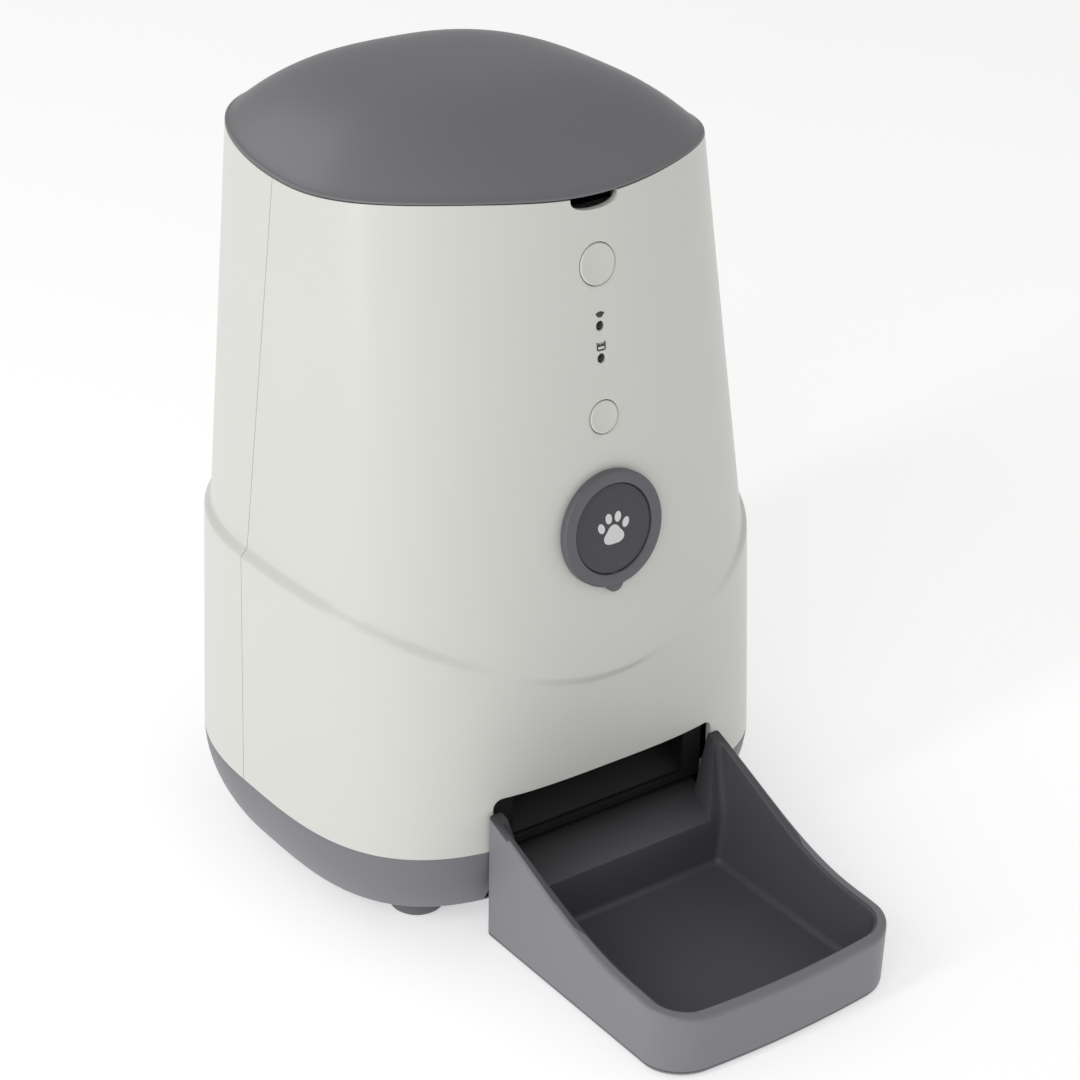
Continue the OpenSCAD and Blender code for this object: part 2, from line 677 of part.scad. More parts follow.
module gearbox_case() color([0.25, 0.25, 0.27]) difference() {
    translate([0, 0, case_z]) linear_extrude(height = case_top - case_z) case_outline(case_r);
    translate([0, 0, case_z + 2]) linear_extrude(height = 30) case_outline(case_r - 2);
    translate([0, rotor_y, case_z - 1]) cylinder(r = shaft_r + fit_gap, h = 5);
    translate([0, idler_y, case_z + 0.4]) cylinder(r = 1.5, h = 5);
    translate([0, motor_y, case_z - 1]) cylinder(r = 1.6, h = 5);
}

module gearbox_cover() color([0.25, 0.25, 0.27]) difference() {
    translate([0, 0, case_top]) linear_extrude(height = chassis_z - case_top) {
        case_outline(case_r);
        for (y = [rotor_y + 6, motor_y]) translate([0, y]) rounded_rect(2 * case_r + 16, 12, 5);
    }
    translate([0, rotor_y, case_top - 1]) cylinder(r = shaft_r + fit_gap, h = 5);
    translate([0, idler_y, case_top - 1]) cylinder(r = 1.5, h = 2.4);
    gearbox_holes(case_top - 1, 5, 1.4);
}

module gearbox_holes(z, h, r) for (x = [-1, 1], y = [rotor_y + 6, motor_y])
    translate([x * (case_r + 4.5), y, z]) cylinder(r = r, h = h);

module gearbox_screws() color([0.7, 0.7, 0.72]) {
    gearbox_holes(case_top, chassis_z - case_top, 1.3);
    gearbox_holes(case_top - 2, 2, 2.6);
}

// ---- chute ----

chute_back = drop_y + 17;
chute_front = drop_y - 17;
mouth_y = -foot_front + wall + 4.5;
mouth_low = 39.5;
mouth_high = outlet_top - 3;

module chute() color([0.2, 0.2, 0.21]) {
    for (x = [-1, 1]) translate([x * (chute_half + 1) - 1, 0, 0]) side_extrude(2) chute_side();
    translate([-chute_half - 0.5, 0, 0]) side_extrude(2 * chute_half + 1) {
        slab([[chute_back, chassis_z], [chute_back, chassis_z - 8], [mouth_y, mouth_low - 2]]);
        slab([[chute_front, chassis_z], [chute_front, chassis_z - 10], [mouth_y, mouth_high]]);
    }
    difference() {
        translate([-bay_half + 0.5, mouth_y - 0.5, mouth_low - 4])
            cube([2 * bay_half - 1, 2, outlet_top - mouth_low + 8]);
        translate([-chute_half, mouth_y - 5, mouth_low]) cube([2 * chute_half, 20, mouth_high - mouth_low]);
    }
}

// Extrudes a shape drawn in Y and Z along X
module side_extrude(w) rotate([90, 0, 90]) linear_extrude(height = w) children();

module chute_side() polygon([
    [chute_back + 1, chassis_z], [chute_back + 1, chassis_z - 8], [mouth_y, mouth_low - 3],
    [mouth_y, mouth_high + 1], [chute_front - 1, chassis_z - 10], [chute_front - 1, chassis_z]]);

// A 2 mm thick band along a path in Y and Z
module slab(path) for (i = [0:len(path) - 2]) {
    v = path[i + 1] - path[i];
    s = [-v[1], v[0]] / norm(v);
    polygon([path[i] - s, path[i] + s, path[i + 1] + s, path[i + 1] - s]);
}

module food_sensors() color([0.1, 0.1, 0.12]) for (x = [-1, 1])
    translate([x * (chute_half + 2 + 3), (chute_back + mouth_y) / 2 + 4, 68]) {
        cube([6, 10, 8], center = true);
    }

// ---- tray ----

tray_top = tray_high + 6;
draft = 0.6;
tray_front_y = -tray_reach - draft * (tray_top - tray_low) / (tray_top - tray_gap - 2.5);
tray_mid_y = (tray_rear_y + tray_front_y) / 2;

// Height of the tray's rim at distance y from the body's axis
function tray_rim(y) =
    let (t = (tray_rear_y - y) / (tray_rear_y - tray_front_y), s = min(1, t / 0.75),
         curve = 0.2 * (1 + cos(180 * s)) + 0.6 * pow(1 - s, 2))
    tray_low + 3.5 * (1 - pow(t, 8)) + (tray_high - tray_low - 3.5) * curve;

module tray_plan(inset, r) {
    bulge_r = (pow(tray_half, 2) + pow(tray_bulge, 2)) / (2 * tray_bulge);
    long = tray_rear_y - tray_front_y + 40;
    intersection() {
        translate([0, tray_front_y + inset + long / 2])
            rounded_rect(2 * (tray_half - inset), long, r);
        translate([0, tray_front_y + bulge_r + inset]) circle(bulge_r, $fn = 160);
        translate([-tray_half, tray_front_y]) square([2 * tray_half, tray_rear_y - tray_front_y]);
    }
}

module tray_profile() polygon(concat(
    [[tray_rear_y + 1, 0], [tray_front_y - 1, 0], [tray_front_y - 1, tray_low]],
    [for (i = [0:20]) let (y = mix(tray_front_y, tray_rear_y, i / 20)) [y, tray_rim(y)]],
    [[tray_rear_y + 1, tray_high]]));

module tray_solid(inset_low, inset_high, z0, z1, r) hull() {
    translate([0, 0, z0]) linear_extrude(height = 0.01) tray_plan(inset_low + 2.5, r);
    translate([0, 0, z0 + 2.5]) linear_extrude(height = 0.01) tray_plan(inset_low, r);
    translate([0, 0, z1]) linear_extrude(height = 0.01) tray_plan(inset_high, r);
}

module tray() color([0.46, 0.46, 0.48]) {
    difference() {
        intersection() {
            tray_body();
            translate([-tray_half - 1, 0, 0]) side_extrude(2 * tray_half + 2) tray_profile();
        }
        tray_cavity();
        tray_passage();
    }
    translate([-passage_half - 5, 0, 0]) side_extrude(2 * passage_half + 10) ramp();
    translate([-30, tray_rear_y - 1, pan_floor + 1]) cube([60, 25, 3]);
}

module tray_body() tray_solid(draft, 0, tray_gap, tray_top, tray_corner);

module tray_cavity() intersection() {
    tray_solid(6, tray_wall, tray_gap + tray_floor, tray_high + 8, tray_corner - tray_wall);
    translate([-tray_half, 0, 0]) side_extrude(2 * tray_half) polygon([
        [tray_front_y, 0], [tray_wall_y, 0], [tray_wall_y, tray_step],
        [tray_wall_y + tray_lean, tray_high], [tray_wall_y + tray_lean, 100], [tray_front_y, 100]]);
}

module tray_passage() intersection() {
    translate([-tray_half, 0, 0]) side_extrude(2 * tray_half) passage();
    translate([0, ramp_end + 1, 0]) rotate([90, 0, 0]) linear_extrude(height = tray_reach) polygon([
        [-passage_half, 0], [-passage_half, tray_step], [-passage_half - passage_flare, tray_high],
        [-passage_half - passage_flare, 100], [passage_half + passage_flare, 100],
        [passage_half + passage_flare, tray_high], [passage_half, tray_step], [passage_half, 0]]);
}

ramp_end = -foot_front + 15;
ramp_slope = tan(28);
function ramp_z(y) = tray_step + (y - tray_wall_y) * ramp_slope;

module passage() polygon([
    [tray_wall_y - 1, tray_step], [tray_wall_y, tray_step], [ramp_end, ramp_z(ramp_end)],
    [ramp_end, 90], [tray_wall_y - 1, 90]]);

module ramp() polygon([
    [tray_rear_y - 1, ramp_z(tray_rear_y - 1)], [ramp_end, ramp_z(ramp_end)],
    [ramp_end, ramp_z(ramp_end) - 2.4], [tray_rear_y - 1, ramp_z(tray_rear_y - 1) - 4]]);

// ---- buttons, lights and cap ----

module push_button(d) {
    rod(d / 2, -0.3, 5);
    rod(d / 2 + 1.6, wall + 0.2, 5);
    rod(2, 5, 6.4);
}

module feed_button() color([0.8, 0.8, 0.78]) on_front(feed_z) push_button(feed_d);
module link_button() color([0.8, 0.8, 0.78]) on_front(link_z) push_button(link_d);

board_y = 10.5;

module button_switches() color([0.15, 0.15, 0.15]) for (z = [feed_z, link_z]) on_front(z) {
    translate([-3, 8, -3]) cube([6, board_y - 8, 6]);
}

module button_board() color([0.1, 0.35, 0.2]) on_front((feed_z + link_z) / 2)
    translate([-12, board_y, -38]) cube([24, board_t, 76]);

module net_light() color([0.12, 0.12, 0.13]) on_front(net_light_z) rod(light_d / 2, 0.3, board_y);
module food_light() color([0.12, 0.12, 0.13]) on_front(food_light_z) rod(light_d / 2, 0.3, board_y);

module front_cap() color([0.38, 0.38, 0.4]) on_front(cap_z) difference() {
    union() {
        rod(cap_d / 2, -cap_proud, -0.3);
        rod(cap_d / 2 - 8.4, -0.4, 6);
        translate([0, 0, -cap_d / 2 + 1.5]) rod(4, -cap_proud + 0.8, -0.5);
    }
    rod(disc_d / 2 + snug, -cap_proud - 1, -1.5);
}

module front_cap_disc() color([0.29, 0.29, 0.31]) on_front(cap_z) rod(disc_d / 2, -cap_proud + 0.6, -1.5);

// ---- electronics and power ----

module main_board() color([0.1, 0.35, 0.2]) translate([-42, 66, 56]) cube([84, board_t, 42]);

module board_parts() color([0.15, 0.15, 0.16]) translate([0, 66, 0]) {
    translate([-10, -1.8, 66]) cube([16, 1.8, 16]);
    translate([16, -3.2, 62]) cube([18, 3.2, 24]);
    translate([-32, -10, 60]) cube([12, 10, 8]);
    for (x = [-34, -24]) translate([x, 0, 82]) rotate([90, 0, 0]) cylinder(r = 4, h = 9);
}

module power_inlet() color([0.1, 0.1, 0.1]) {
    translate([-7, 62, inlet_z - 8]) cube([14, 12, 14]);
    difference() {
        translate([0, 0, inlet_z]) rod(inlet_r + 1, 73, base_size(inlet_z)[2] - 0.3);
        translate([0, 0, inlet_z]) rod(inlet_r, 75, 100);
    }
    translate([0, 0, inlet_z]) rod(1, 73, 83);
}

module battery_box() color([0.25, 0.25, 0.27]) difference() {
    translate([-door_w / 2 - 1, door_y - door_d / 2 - 1, pan_floor])
        cube([door_w + 2, door_d + 2, box_top - pan_floor + 2]);
    translate([-door_w / 2 + 1, door_y - door_d / 2 + 1, pan_floor - 1])
        cube([door_w - 2, door_d - 2, box_top - pan_floor + 1]);
}

cell_z = pan_floor + 1 + cell_d / 2;

module battery_cells() color([0.2, 0.2, 0.22]) for (i = [-1:1])
    translate([i * (cell_d + 1), door_y, cell_z]) {
        rod(cell_d / 2, -cell_l / 2, cell_l / 2 - 1.5);
        rod(5, cell_l / 2 - 1.6, cell_l / 2);
    }

module battery_contacts() color([0.8, 0.75, 0.6]) for (i = [-1:1])
    translate([i * (cell_d + 1), door_y, cell_z]) {
        translate([-6, cell_l / 2 + 0.3, -6]) cube([12, door_d / 2 - 1 - cell_l / 2 - 0.3, 12]);
        difference() {
            rod(6, -door_d / 2 + 1, -cell_l / 2 - 0.3);
            rod(4.6, -door_d / 2 + 2, -cell_l / 2);
        }
    }

module battery_door() color([0.45, 0.45, 0.46])
    translate([-door_w / 2 + slide_gap, door_y - door_d / 2 + slide_gap, base_z]) {
        w = door_w - 2 * slide_gap;
        d = door_d - 2 * slide_gap;
        difference() {
            cube([w, d, wall - 0.3]);
            for (i = [0:4]) translate([w / 2 - 12, 8 + 3 * i, -1]) cube([24, 1.2, 1.8]);
        }
    }

place() front_shell();
place() rear_shell();
place() base_pan();
place() feet();
place() lid();
place() lid_seal();
place() desiccant_cup();
place() desiccant_cover();
place() hopper();
place() chassis();
place() dosing_chamber();
place() chamber_cover();
place() rotor();
place() rotor_wipers();
place() stirrer();
place() rotor_shaft();
place() output_gear();
place() idler_gear();
place() idler_pin();
place() motor_pinion();
place() motor_shaft();
place() motor();
place() gearbox_case();
place() gearbox_cover();
place() chute();
place() food_sensors();
place() tray();
place() feed_button();
place() link_button();
place() button_switches();
place() button_board();
place() net_light();
place() food_light();
place() front_cap();
place() front_cap_disc();
place() main_board();
place() board_parts();
place() power_inlet();
place() battery_box();
place() battery_cells();
place() battery_contacts();
place() battery_door();
place() shell_screws();
place() base_screws();
place() gearbox_screws();
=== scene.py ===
# %% [markdown]
# # An automatic pet feeder, built in Blender
#
# The feeder is a plastic appliance: a tapered white body in two shells, a grey domed lid, a grey
# raised base and a grey pull-out tray. The mechanism is already modelled in CAD. This lesson
# rebuilds the pieces that show, smooth and detailed, in the same place as their CAD solids, and
# gives every piece its own finish. All lengths below are written in millimetres times MM.

# %% Load the CAD frame
import json
import math
import bpy
from mathutils import Matrix, Vector


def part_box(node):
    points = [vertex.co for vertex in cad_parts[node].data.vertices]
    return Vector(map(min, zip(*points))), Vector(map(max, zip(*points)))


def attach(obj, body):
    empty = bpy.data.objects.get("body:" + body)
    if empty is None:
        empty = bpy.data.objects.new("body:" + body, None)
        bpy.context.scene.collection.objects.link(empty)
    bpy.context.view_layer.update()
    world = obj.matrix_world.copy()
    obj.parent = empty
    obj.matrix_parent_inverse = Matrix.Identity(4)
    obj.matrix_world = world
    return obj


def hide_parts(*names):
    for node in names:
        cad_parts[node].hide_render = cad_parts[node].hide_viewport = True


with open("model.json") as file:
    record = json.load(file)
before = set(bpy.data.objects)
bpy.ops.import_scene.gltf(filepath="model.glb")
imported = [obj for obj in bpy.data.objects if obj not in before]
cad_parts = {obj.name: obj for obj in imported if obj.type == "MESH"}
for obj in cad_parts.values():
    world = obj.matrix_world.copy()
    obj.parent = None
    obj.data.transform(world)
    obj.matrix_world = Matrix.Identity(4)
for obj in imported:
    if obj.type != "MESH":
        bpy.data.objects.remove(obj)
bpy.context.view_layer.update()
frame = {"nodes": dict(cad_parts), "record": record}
MM = 0.001

# %% [markdown]
# ## The outline of the body
#
# Seen from above, the body is a rounded square that is deeper at the back than at the front. It
# narrows and leans forward as it rises. Such a shape is one formula, a superellipse whose sizes
# change with height, so the shells, the lid and the base can all share it and will line up.

# %% Sizes of the body
TOTAL_H, RIM_Z, RIM_WAVE, LEAN = 310, 284.6, 3.2, 6.3
LEDGE_Z, LEDGE_DROP, LEDGE_RISE, LEDGE_STEP, LEDGE_POWER = 135, 37, 4.5, 2.4, 3.2
BORDER_Z, BASE_Z, SKIRT = 38.7, 9.5, 9.6
WALL, SEAM = 2.5, 0.3
RIM = (85.1, 68.5, 97.1, 2.31, 2.41)
WAIST = (99.8, 91.7, 92.1, 2.84, 2.23)
FOOT = (103.6, 98.4, 90.5, 3.39, 2.36)
TRAY_REACH = 209
HALF_TURN = math.pi


def mix(a, b, t):
    return a + (b - a) * t


def blend(low, high, t, inset=0.0):
    """Half width, front depth, rear depth and the two roundness values between two heights."""
    return [mix(low[i], high[i], t) - (inset if i < 3 else 0) for i in range(5)]


HIP = blend(WAIST, WAIST, 0, -LEDGE_STEP)


def outline_r(size, phi):
    """Distance from the axis to the outline at the angle phi."""
    c, s = abs(math.cos(phi)), abs(math.sin(phi))
    depth, n = (size[1], size[3]) if math.sin(phi) < 0 else (size[2], size[4])
    return ((c / size[0]) ** n + (s / depth) ** n) ** (-1 / n)


def upper_size(z, inset=0.0):
    return blend(WAIST, RIM, (z - LEDGE_Z) / (RIM_Z - LEDGE_Z), inset)


def lower_size(z, inset=0.0):
    return blend(FOOT, HIP, (z - BORDER_Z) / (LEDGE_Z - BORDER_Z), inset)


def centre_y(z):
    return -LEAN * max(0, z - BORDER_Z) / (RIM_Z - BORDER_Z)


def rim_h(phi):
    return RIM_Z - RIM_WAVE * (1 + math.cos(4 * phi)) / 2


def ledge_h(phi):
    return LEDGE_Z - LEDGE_DROP * max(0, -math.sin(phi)) ** LEDGE_POWER


REAR = max(FOOT[2], HIP[2] + centre_y(LEDGE_Z), RIM[2] + centre_y(RIM_Z))
BODY_Y = (TRAY_REACH - REAR) / 2


def front_y(z):
    """Front of the upper body at its middle, measured from the body's own axis."""
    return centre_y(z) - upper_size(z)[1]


TILT = math.atan((front_y(RIM_Z) - front_y(LEDGE_Z)) / (RIM_Z - LEDGE_Z))
print("body axis at y", round(BODY_Y, 3), "mm, front leans back", round(math.degrees(TILT), 2))

# %% [markdown]
# ## Helpers for modelling
#
# Blender's operators act on whatever is selected, so each helper first clears the selection. A
# curved shell starts as a plain grid whose rows and columns are then laid on the outline. That
# keeps clean quads, which shade smoothly.


# %% Selecting and adding
def only(piece):
    """Selects one object and makes it active."""
    if bpy.context.mode != "OBJECT":
        bpy.ops.object.mode_set(mode="OBJECT")
    bpy.ops.object.select_all(action="DESELECT")
    piece.select_set(True)
    bpy.context.view_layer.objects.active = piece
    return piece


def added(name):
    """Names the object that an operator has just added."""
    piece = bpy.context.active_object
    piece.name = piece.data.name = name
    return piece


def laid_grid(name, rows, columns, place):
    """A grid with its point in row i and column j at place(i, j), in millimetres about the body's axis."""
    bpy.ops.object.select_all(action="DESELECT")
    bpy.ops.mesh.primitive_grid_add(x_subdivisions=columns - 1, y_subdivisions=rows - 1, size=2)
    piece = added(name)
    for vertex in piece.data.vertices:
        j = round((vertex.co.x + 1) / 2 * (columns - 1))
        i = round((vertex.co.y + 1) / 2 * (rows - 1))
        x, y, z = place(i, j)
        vertex.co = (x * MM, (y + BODY_Y) * MM, z * MM)
    return piece


def edit(piece, *steps):
    """Runs edit-mode operators on the whole mesh; each step is a function without arguments."""
    only(piece)
    bpy.ops.object.mode_set(mode="EDIT")
    for step in steps:
        bpy.ops.mesh.select_all(action="SELECT")
        step()
    bpy.ops.object.mode_set(mode="OBJECT")
    return piece


def weld(piece, distance=0.002):
    """Merges the points along closed seams and at poles, and turns the faces outwards."""
    return edit(
        piece,
        lambda: bpy.ops.mesh.remove_doubles(threshold=distance * MM),
        lambda: bpy.ops.mesh.normals_make_consistent(inside=False),
    )


def modify(piece, kind, **values):
    """Adds a modifier and applies it at once."""
    only(piece)
    modifier = piece.modifiers.new(kind.title(), kind)
    for key, value in values.items():
        setattr(modifier, key, value)
    bpy.ops.object.modifier_apply(modifier=modifier.name)
    return piece


def settle(piece):
    """Applies the place, turn and scale, so the object itself sits at the origin."""
    only(piece)
    bpy.ops.object.transform_apply(location=True, rotation=True, scale=True)
    return piece


def cut(piece, *cutters, join="DIFFERENCE"):
    """Takes the cutters away from the piece, or joins them to it, and removes them."""
    for cutter in cutters:
        settle(cutter)
        modify(piece, "BOOLEAN", operation=join, object=cutter, solver="EXACT")
        bpy.data.objects.remove(cutter)
    return piece


def bevel_where(piece, test, width, segments=3, angle=30):
    """Bevels the edges sharper than angle whose middle and direction pass the test."""
    only(piece)
    bpy.ops.object.mode_set(mode="EDIT")
    bpy.ops.mesh.select_mode(type="EDGE")
    bpy.ops.mesh.select_all(action="DESELECT")
    bpy.ops.mesh.edges_select_sharp(sharpness=math.radians(angle))
    bpy.ops.object.mode_set(mode="OBJECT")
    mesh = piece.data
    chosen = 0
    for edge in mesh.edges:
        if edge.select:
            a, b = (mesh.vertices[i].co / MM for i in edge.vertices)
            edge.select = test((a + b) / 2 - Vector((0, BODY_Y, 0)), (b - a).normalized())
            chosen += edge.select
    bpy.ops.object.mode_set(mode="EDIT")
    if chosen:
        bpy.ops.mesh.bevel(offset=width * MM, segments=segments, profile=0.5, clamp_overlap=True)
    bpy.ops.object.mode_set(mode="OBJECT")
    return piece


def smooth(piece, angle=35):
    only(piece)
    bpy.ops.object.shade_smooth_by_angle(angle=math.radians(angle))
    return piece


def joined(name, pieces):
    """Joins finished parts into one object."""
    only(pieces[0])
    for piece in pieces[1:]:
        piece.select_set(True)
    bpy.ops.object.join()
    pieces[0].name = pieces[0].data.name = name
    return pieces[0]


# %% [markdown]
# ## Places on the front
#
# The front face leans back by a few degrees. Buttons, lights and the round cap are modelled flat,
# facing -Y at the origin, and then moved to their height and leant back with the face.


# %% Working on the front face
def front_matrix(z):
    place = Matrix.Translation(Vector((0, (front_y(z) + BODY_Y) * MM, z * MM)))
    return place @ Matrix.Rotation(-TILT, 4, "X")


def on_front(piece, z):
    """Moves a piece that was modelled facing -Y at the origin to height z on the front."""
    piece.matrix_world = front_matrix(z) @ piece.matrix_world
    return settle(piece)


def rod(name, radius, y0, y1, x=0, z=0, sides=64):
    """A round bar along Y."""
    bpy.ops.object.select_all(action="DESELECT")
    bpy.ops.mesh.primitive_cylinder_add(
        vertices=sides, radius=radius * MM, depth=(y1 - y0) * MM,
        location=(x * MM, (y0 + y1) / 2 * MM, z * MM), rotation=(HALF_TURN / 2, 0, 0))
    return settle(added(name))


def block(name, low, high):
    """A box between two corners."""
    bpy.ops.object.select_all(action="DESELECT")
    bpy.ops.mesh.primitive_cube_add(
        size=1, location=[(a + b) / 2 * MM for a, b in zip(low, high)],
        scale=[(b - a) * MM for a, b in zip(low, high)])
    return settle(added(name))


def turned(name, profile, sides=96):
    """A solid turned about the Y axis from a profile of (radius, y) points."""
    points = [(r, y) for r, y in profile]

    def place(i, j):
        r, y = points[i]
        a = 2 * HALF_TURN * j / sides
        return r * math.cos(a), y - BODY_Y, r * math.sin(a)

    return weld(laid_grid(name, len(points), sides + 1, place), 0.004)


# %% [markdown]
# ## Finishes
#
# A shader is a sum of small formulas: grain is fine noise, and wear is a slow change of roughness.
# Writing each formula as nodes by hand is long, so a socket is wrapped in a class that understands
# plus, minus, times and powers, and adds the Math nodes itself.


# %% Shader arithmetic
class Value:
    """A socket that can be used in a formula."""

    def __init__(self, tree, socket):
        self.tree, self.socket = tree, socket

    def _with(self, operation, a, b):
        node = self.tree.nodes.new("ShaderNodeMath")
        node.operation = operation
        for slot, item in zip(node.inputs, (a, b)):
            if isinstance(item, Value):
                self.tree.links.new(item.socket, slot)
            else:
                slot.default_value = item
        return Value(self.tree, node.outputs[0])

    def __add__(self, other):
        return self._with("ADD", self, other)

    def __sub__(self, other):
        return self._with("SUBTRACT", self, other)

    def __mul__(self, other):
        return self._with("MULTIPLY", self, other)

    def __truediv__(self, other):
        return self._with("DIVIDE", self, other)

    def __pow__(self, other):
        return self._with("POWER", self, other)

    def __radd__(self, other):
        return self._with("ADD", other, self)

    def __rsub__(self, other):
        return self._with("SUBTRACT", other, self)

    def __rmul__(self, other):
        return self._with("MULTIPLY", other, self)

    def __rtruediv__(self, other):
        return self._with("DIVIDE", other, self)


class Finish:
    """One material and the nodes in it."""

    def __init__(self, name, **sockets):
        self.material = bpy.data.materials.new(name)
        self.material.use_nodes = True
        self.tree = self.material.node_tree
        self.shader = self.tree.nodes["Principled BSDF"]
        for key, value in sockets.items():
            self.shader.inputs[key.replace("_", " ")].default_value = value
        self.place = self.node("ShaderNodeTexCoord", out="Object")

    def node(self, kind, out=0, settings=None, **inputs):
        node = self.tree.nodes.new(kind)
        for key, value in (settings or {}).items():
            setattr(node, key, value)
        for key, item in inputs.items():
            numbered = key[0] == "i" and key[1:].isdigit()
            slot = node.inputs[int(key[1:]) if numbered else key.replace("_", " ")]
            if isinstance(item, Value):
                self.tree.links.new(item.socket, slot)
            else:
                slot.default_value = item
        return Value(self.tree, node.outputs[out])

    def noise(self, scale, detail=2.0, roughness=0.5):
        return self.node("ShaderNodeTexNoise", Vector=self.place, Scale=scale, Detail=detail,
                         Roughness=roughness)

    def mix(self, factor, a, b):
        """A colour between a and b."""
        return self.node("ShaderNodeMix", out=2, settings={"data_type": "RGBA"}, i0=factor, i6=a, i7=b)

    def feed(self, socket, value):
        self.tree.links.new(value.socket, self.shader.inputs[socket])

    def bump(self, height, strength, distance):
        self.feed("Normal", self.node("ShaderNodeBump", Strength=strength, Distance=distance,
                                      Height=height))


def linear(r, g, b):
    """A colour given as 0 to 255 display values, as the renderer's linear RGBA."""
    return tuple(((c / 255 + 0.055) / 1.055) ** 2.4 if c > 10 else c / 255 / 12.92
                 for c in (r, g, b)) + (1.0,)


def shade(colour, factor):
    return tuple(min(1, c * factor) for c in colour[:3]) + (1.0,)


# %% [markdown]
# ## Moulded plastic
#
# The feeder's outside is injection-moulded plastic with a fine spark-eroded grain: even in colour,
# satin rather than glossy, with grain of a few tenths of a millimetre. Two scales of noise give the
# grain's bump, and slow noise changes roughness a little, as handling and moulding do.


# %% Plastic finishes
def satin_plastic(name, colour, rough=0.46, grain=0.05, spread=0.03, size=1.0, specular=0.5, painted_shade_span=None):
    """Plain satin plastic; the optional span gives two values of object Y between which the colour darkens,
    painted shade standing in for a recess.
    """
    f = Finish(name, Specular_IOR_Level=specular)
    slow = f.noise(14, 3)
    fine = f.noise(2600 / size, 2, 0.6)
    coarse = f.noise(900 / size, 1)
    tone = f.mix(slow * 0.7 + fine * 0.3, shade(colour, 1 - spread), shade(colour, 1 + spread))
    # Painted shade: between the two Y values the colour darkens to 12 % of its tone, where a recess would
    # lie in shade.
    if painted_shade_span:
        depth = f.node("ShaderNodeSeparateXYZ", out=1, Vector=f.place)
        fade = f.node("ShaderNodeMapRange", Value=depth, From_Min=painted_shade_span[0], From_Max=painted_shade_span[1])
        tone = f.mix(fade, tone, shade(colour, 0.12))
    f.feed("Base Color", tone)
    f.feed("Roughness", slow * 0.06 + fine * 0.10 + (rough - 0.08))
    f.bump(fine * 0.7 + coarse * 0.3, grain, 0.0002)
    return f.material


# The tray's inside is painted shade: a darker copy of the tray's grey, which darkens further between these
# two Y values towards the outlet.
TRAY_PAINTED_SHADE_SPAN = ((BODY_Y - FOOT[1] - 9.6) * MM, (BODY_Y - FOOT[1] + 8) * MM)
FINISHES = {
    "body_shell": satin_plastic("satin_white_plastic", linear(208, 209, 203), rough=0.33, grain=0.10),
    "lid_grey": satin_plastic("satin_grey_lid", linear(114, 114, 118), rough=0.36, grain=0.12),
    "base_grey": satin_plastic("satin_grey_base", linear(116, 116, 121), rough=0.45, grain=0.12),
    "tray_grey": satin_plastic("satin_grey_tray", linear(124, 124, 129), rough=0.42, grain=0.10),
    "tray_inside": satin_plastic("satin_grey_bowl_painted_shade", linear(86, 86, 90), rough=0.42, grain=0.08,
                                 specular=0.3, painted_shade_span=TRAY_PAINTED_SHADE_SPAN),
    "button_grey": satin_plastic("button_plastic", linear(207, 207, 201), rough=0.35, grain=0.06),
    "cap_ring": satin_plastic("cap_ring_plastic", linear(92, 92, 97), rough=0.42, grain=0.08),
    "cap_disc": satin_plastic("cap_disc_plastic", linear(58, 57, 61), rough=0.38, grain=0.08),
    "inner_white": satin_plastic("moulded_natural_plastic", linear(224, 224, 219), rough=0.35, grain=0.03),
    "gear_plastic": satin_plastic("acetal_gear_plastic", linear(226, 219, 200), rough=0.35, grain=0.03),
    "black_plastic": satin_plastic("moulded_black_plastic", linear(24, 24, 26), rough=0.55, grain=0.08,
                                   specular=0.3),
}
print(len(FINISHES), "plastic finishes")

# %% [markdown]
# ## Rubber, metal and the rest
#
# Rubber is rougher than plastic, metal keeps its colour in the reflection and shows fine lines from
# grinding, and a circuit board is a green lacquer over glass cloth.


# %% Other finishes
def soft_rubber(name, colour):
    f = Finish(name, Specular_IOR_Level=0.35)
    dust = f.noise(60, 4)
    f.feed("Base Color", f.mix(dust, shade(colour, 0.93), shade(colour, 1.12)))
    f.feed("Roughness", dust * 0.12 + 0.68)
    f.bump(f.noise(1500, 3), 0.10, 0.0002)
    return f.material


def ground_metal(name, colour, rough=0.3):
    f = Finish(name, Metallic=1.0)
    stretched = f.node("ShaderNodeMapping", Vector=f.place, Scale=(900, 900, 40))
    lines = f.node("ShaderNodeTexNoise", Vector=stretched, Scale=1.0, Detail=2.0)
    f.feed("Base Color", f.mix(lines, shade(colour, 0.88), shade(colour, 1.06)))
    f.feed("Roughness", lines * 0.16 + (rough - 0.08))
    f.bump(lines, 0.06, 0.0001)
    return f.material


def circuit_board(name, colour):
    f = Finish(name, Coat_Weight=0.4, Coat_Roughness=0.2)
    cloth = f.node("ShaderNodeTexChecker", out=1, Vector=f.place, Scale=1400.0)
    patch = f.noise(220, 1)
    f.feed("Base Color", f.mix(cloth * 0.35 + patch * 0.5, shade(colour, 0.8), shade(colour, 1.25)))
    f.feed("Roughness", patch * 0.1 + 0.32)
    return f.material


def smoked_lens(name, colour, coat=0.6):
    f = Finish(name, Coat_Weight=coat, Coat_Roughness=0.08, Specular_IOR_Level=0.3)
    haze = f.noise(400, 2)
    f.feed("Base Color", f.mix(haze, shade(colour, 0.8), shade(colour, 1.3)))
    f.feed("Roughness", haze * 0.08 + 0.14)
    return f.material


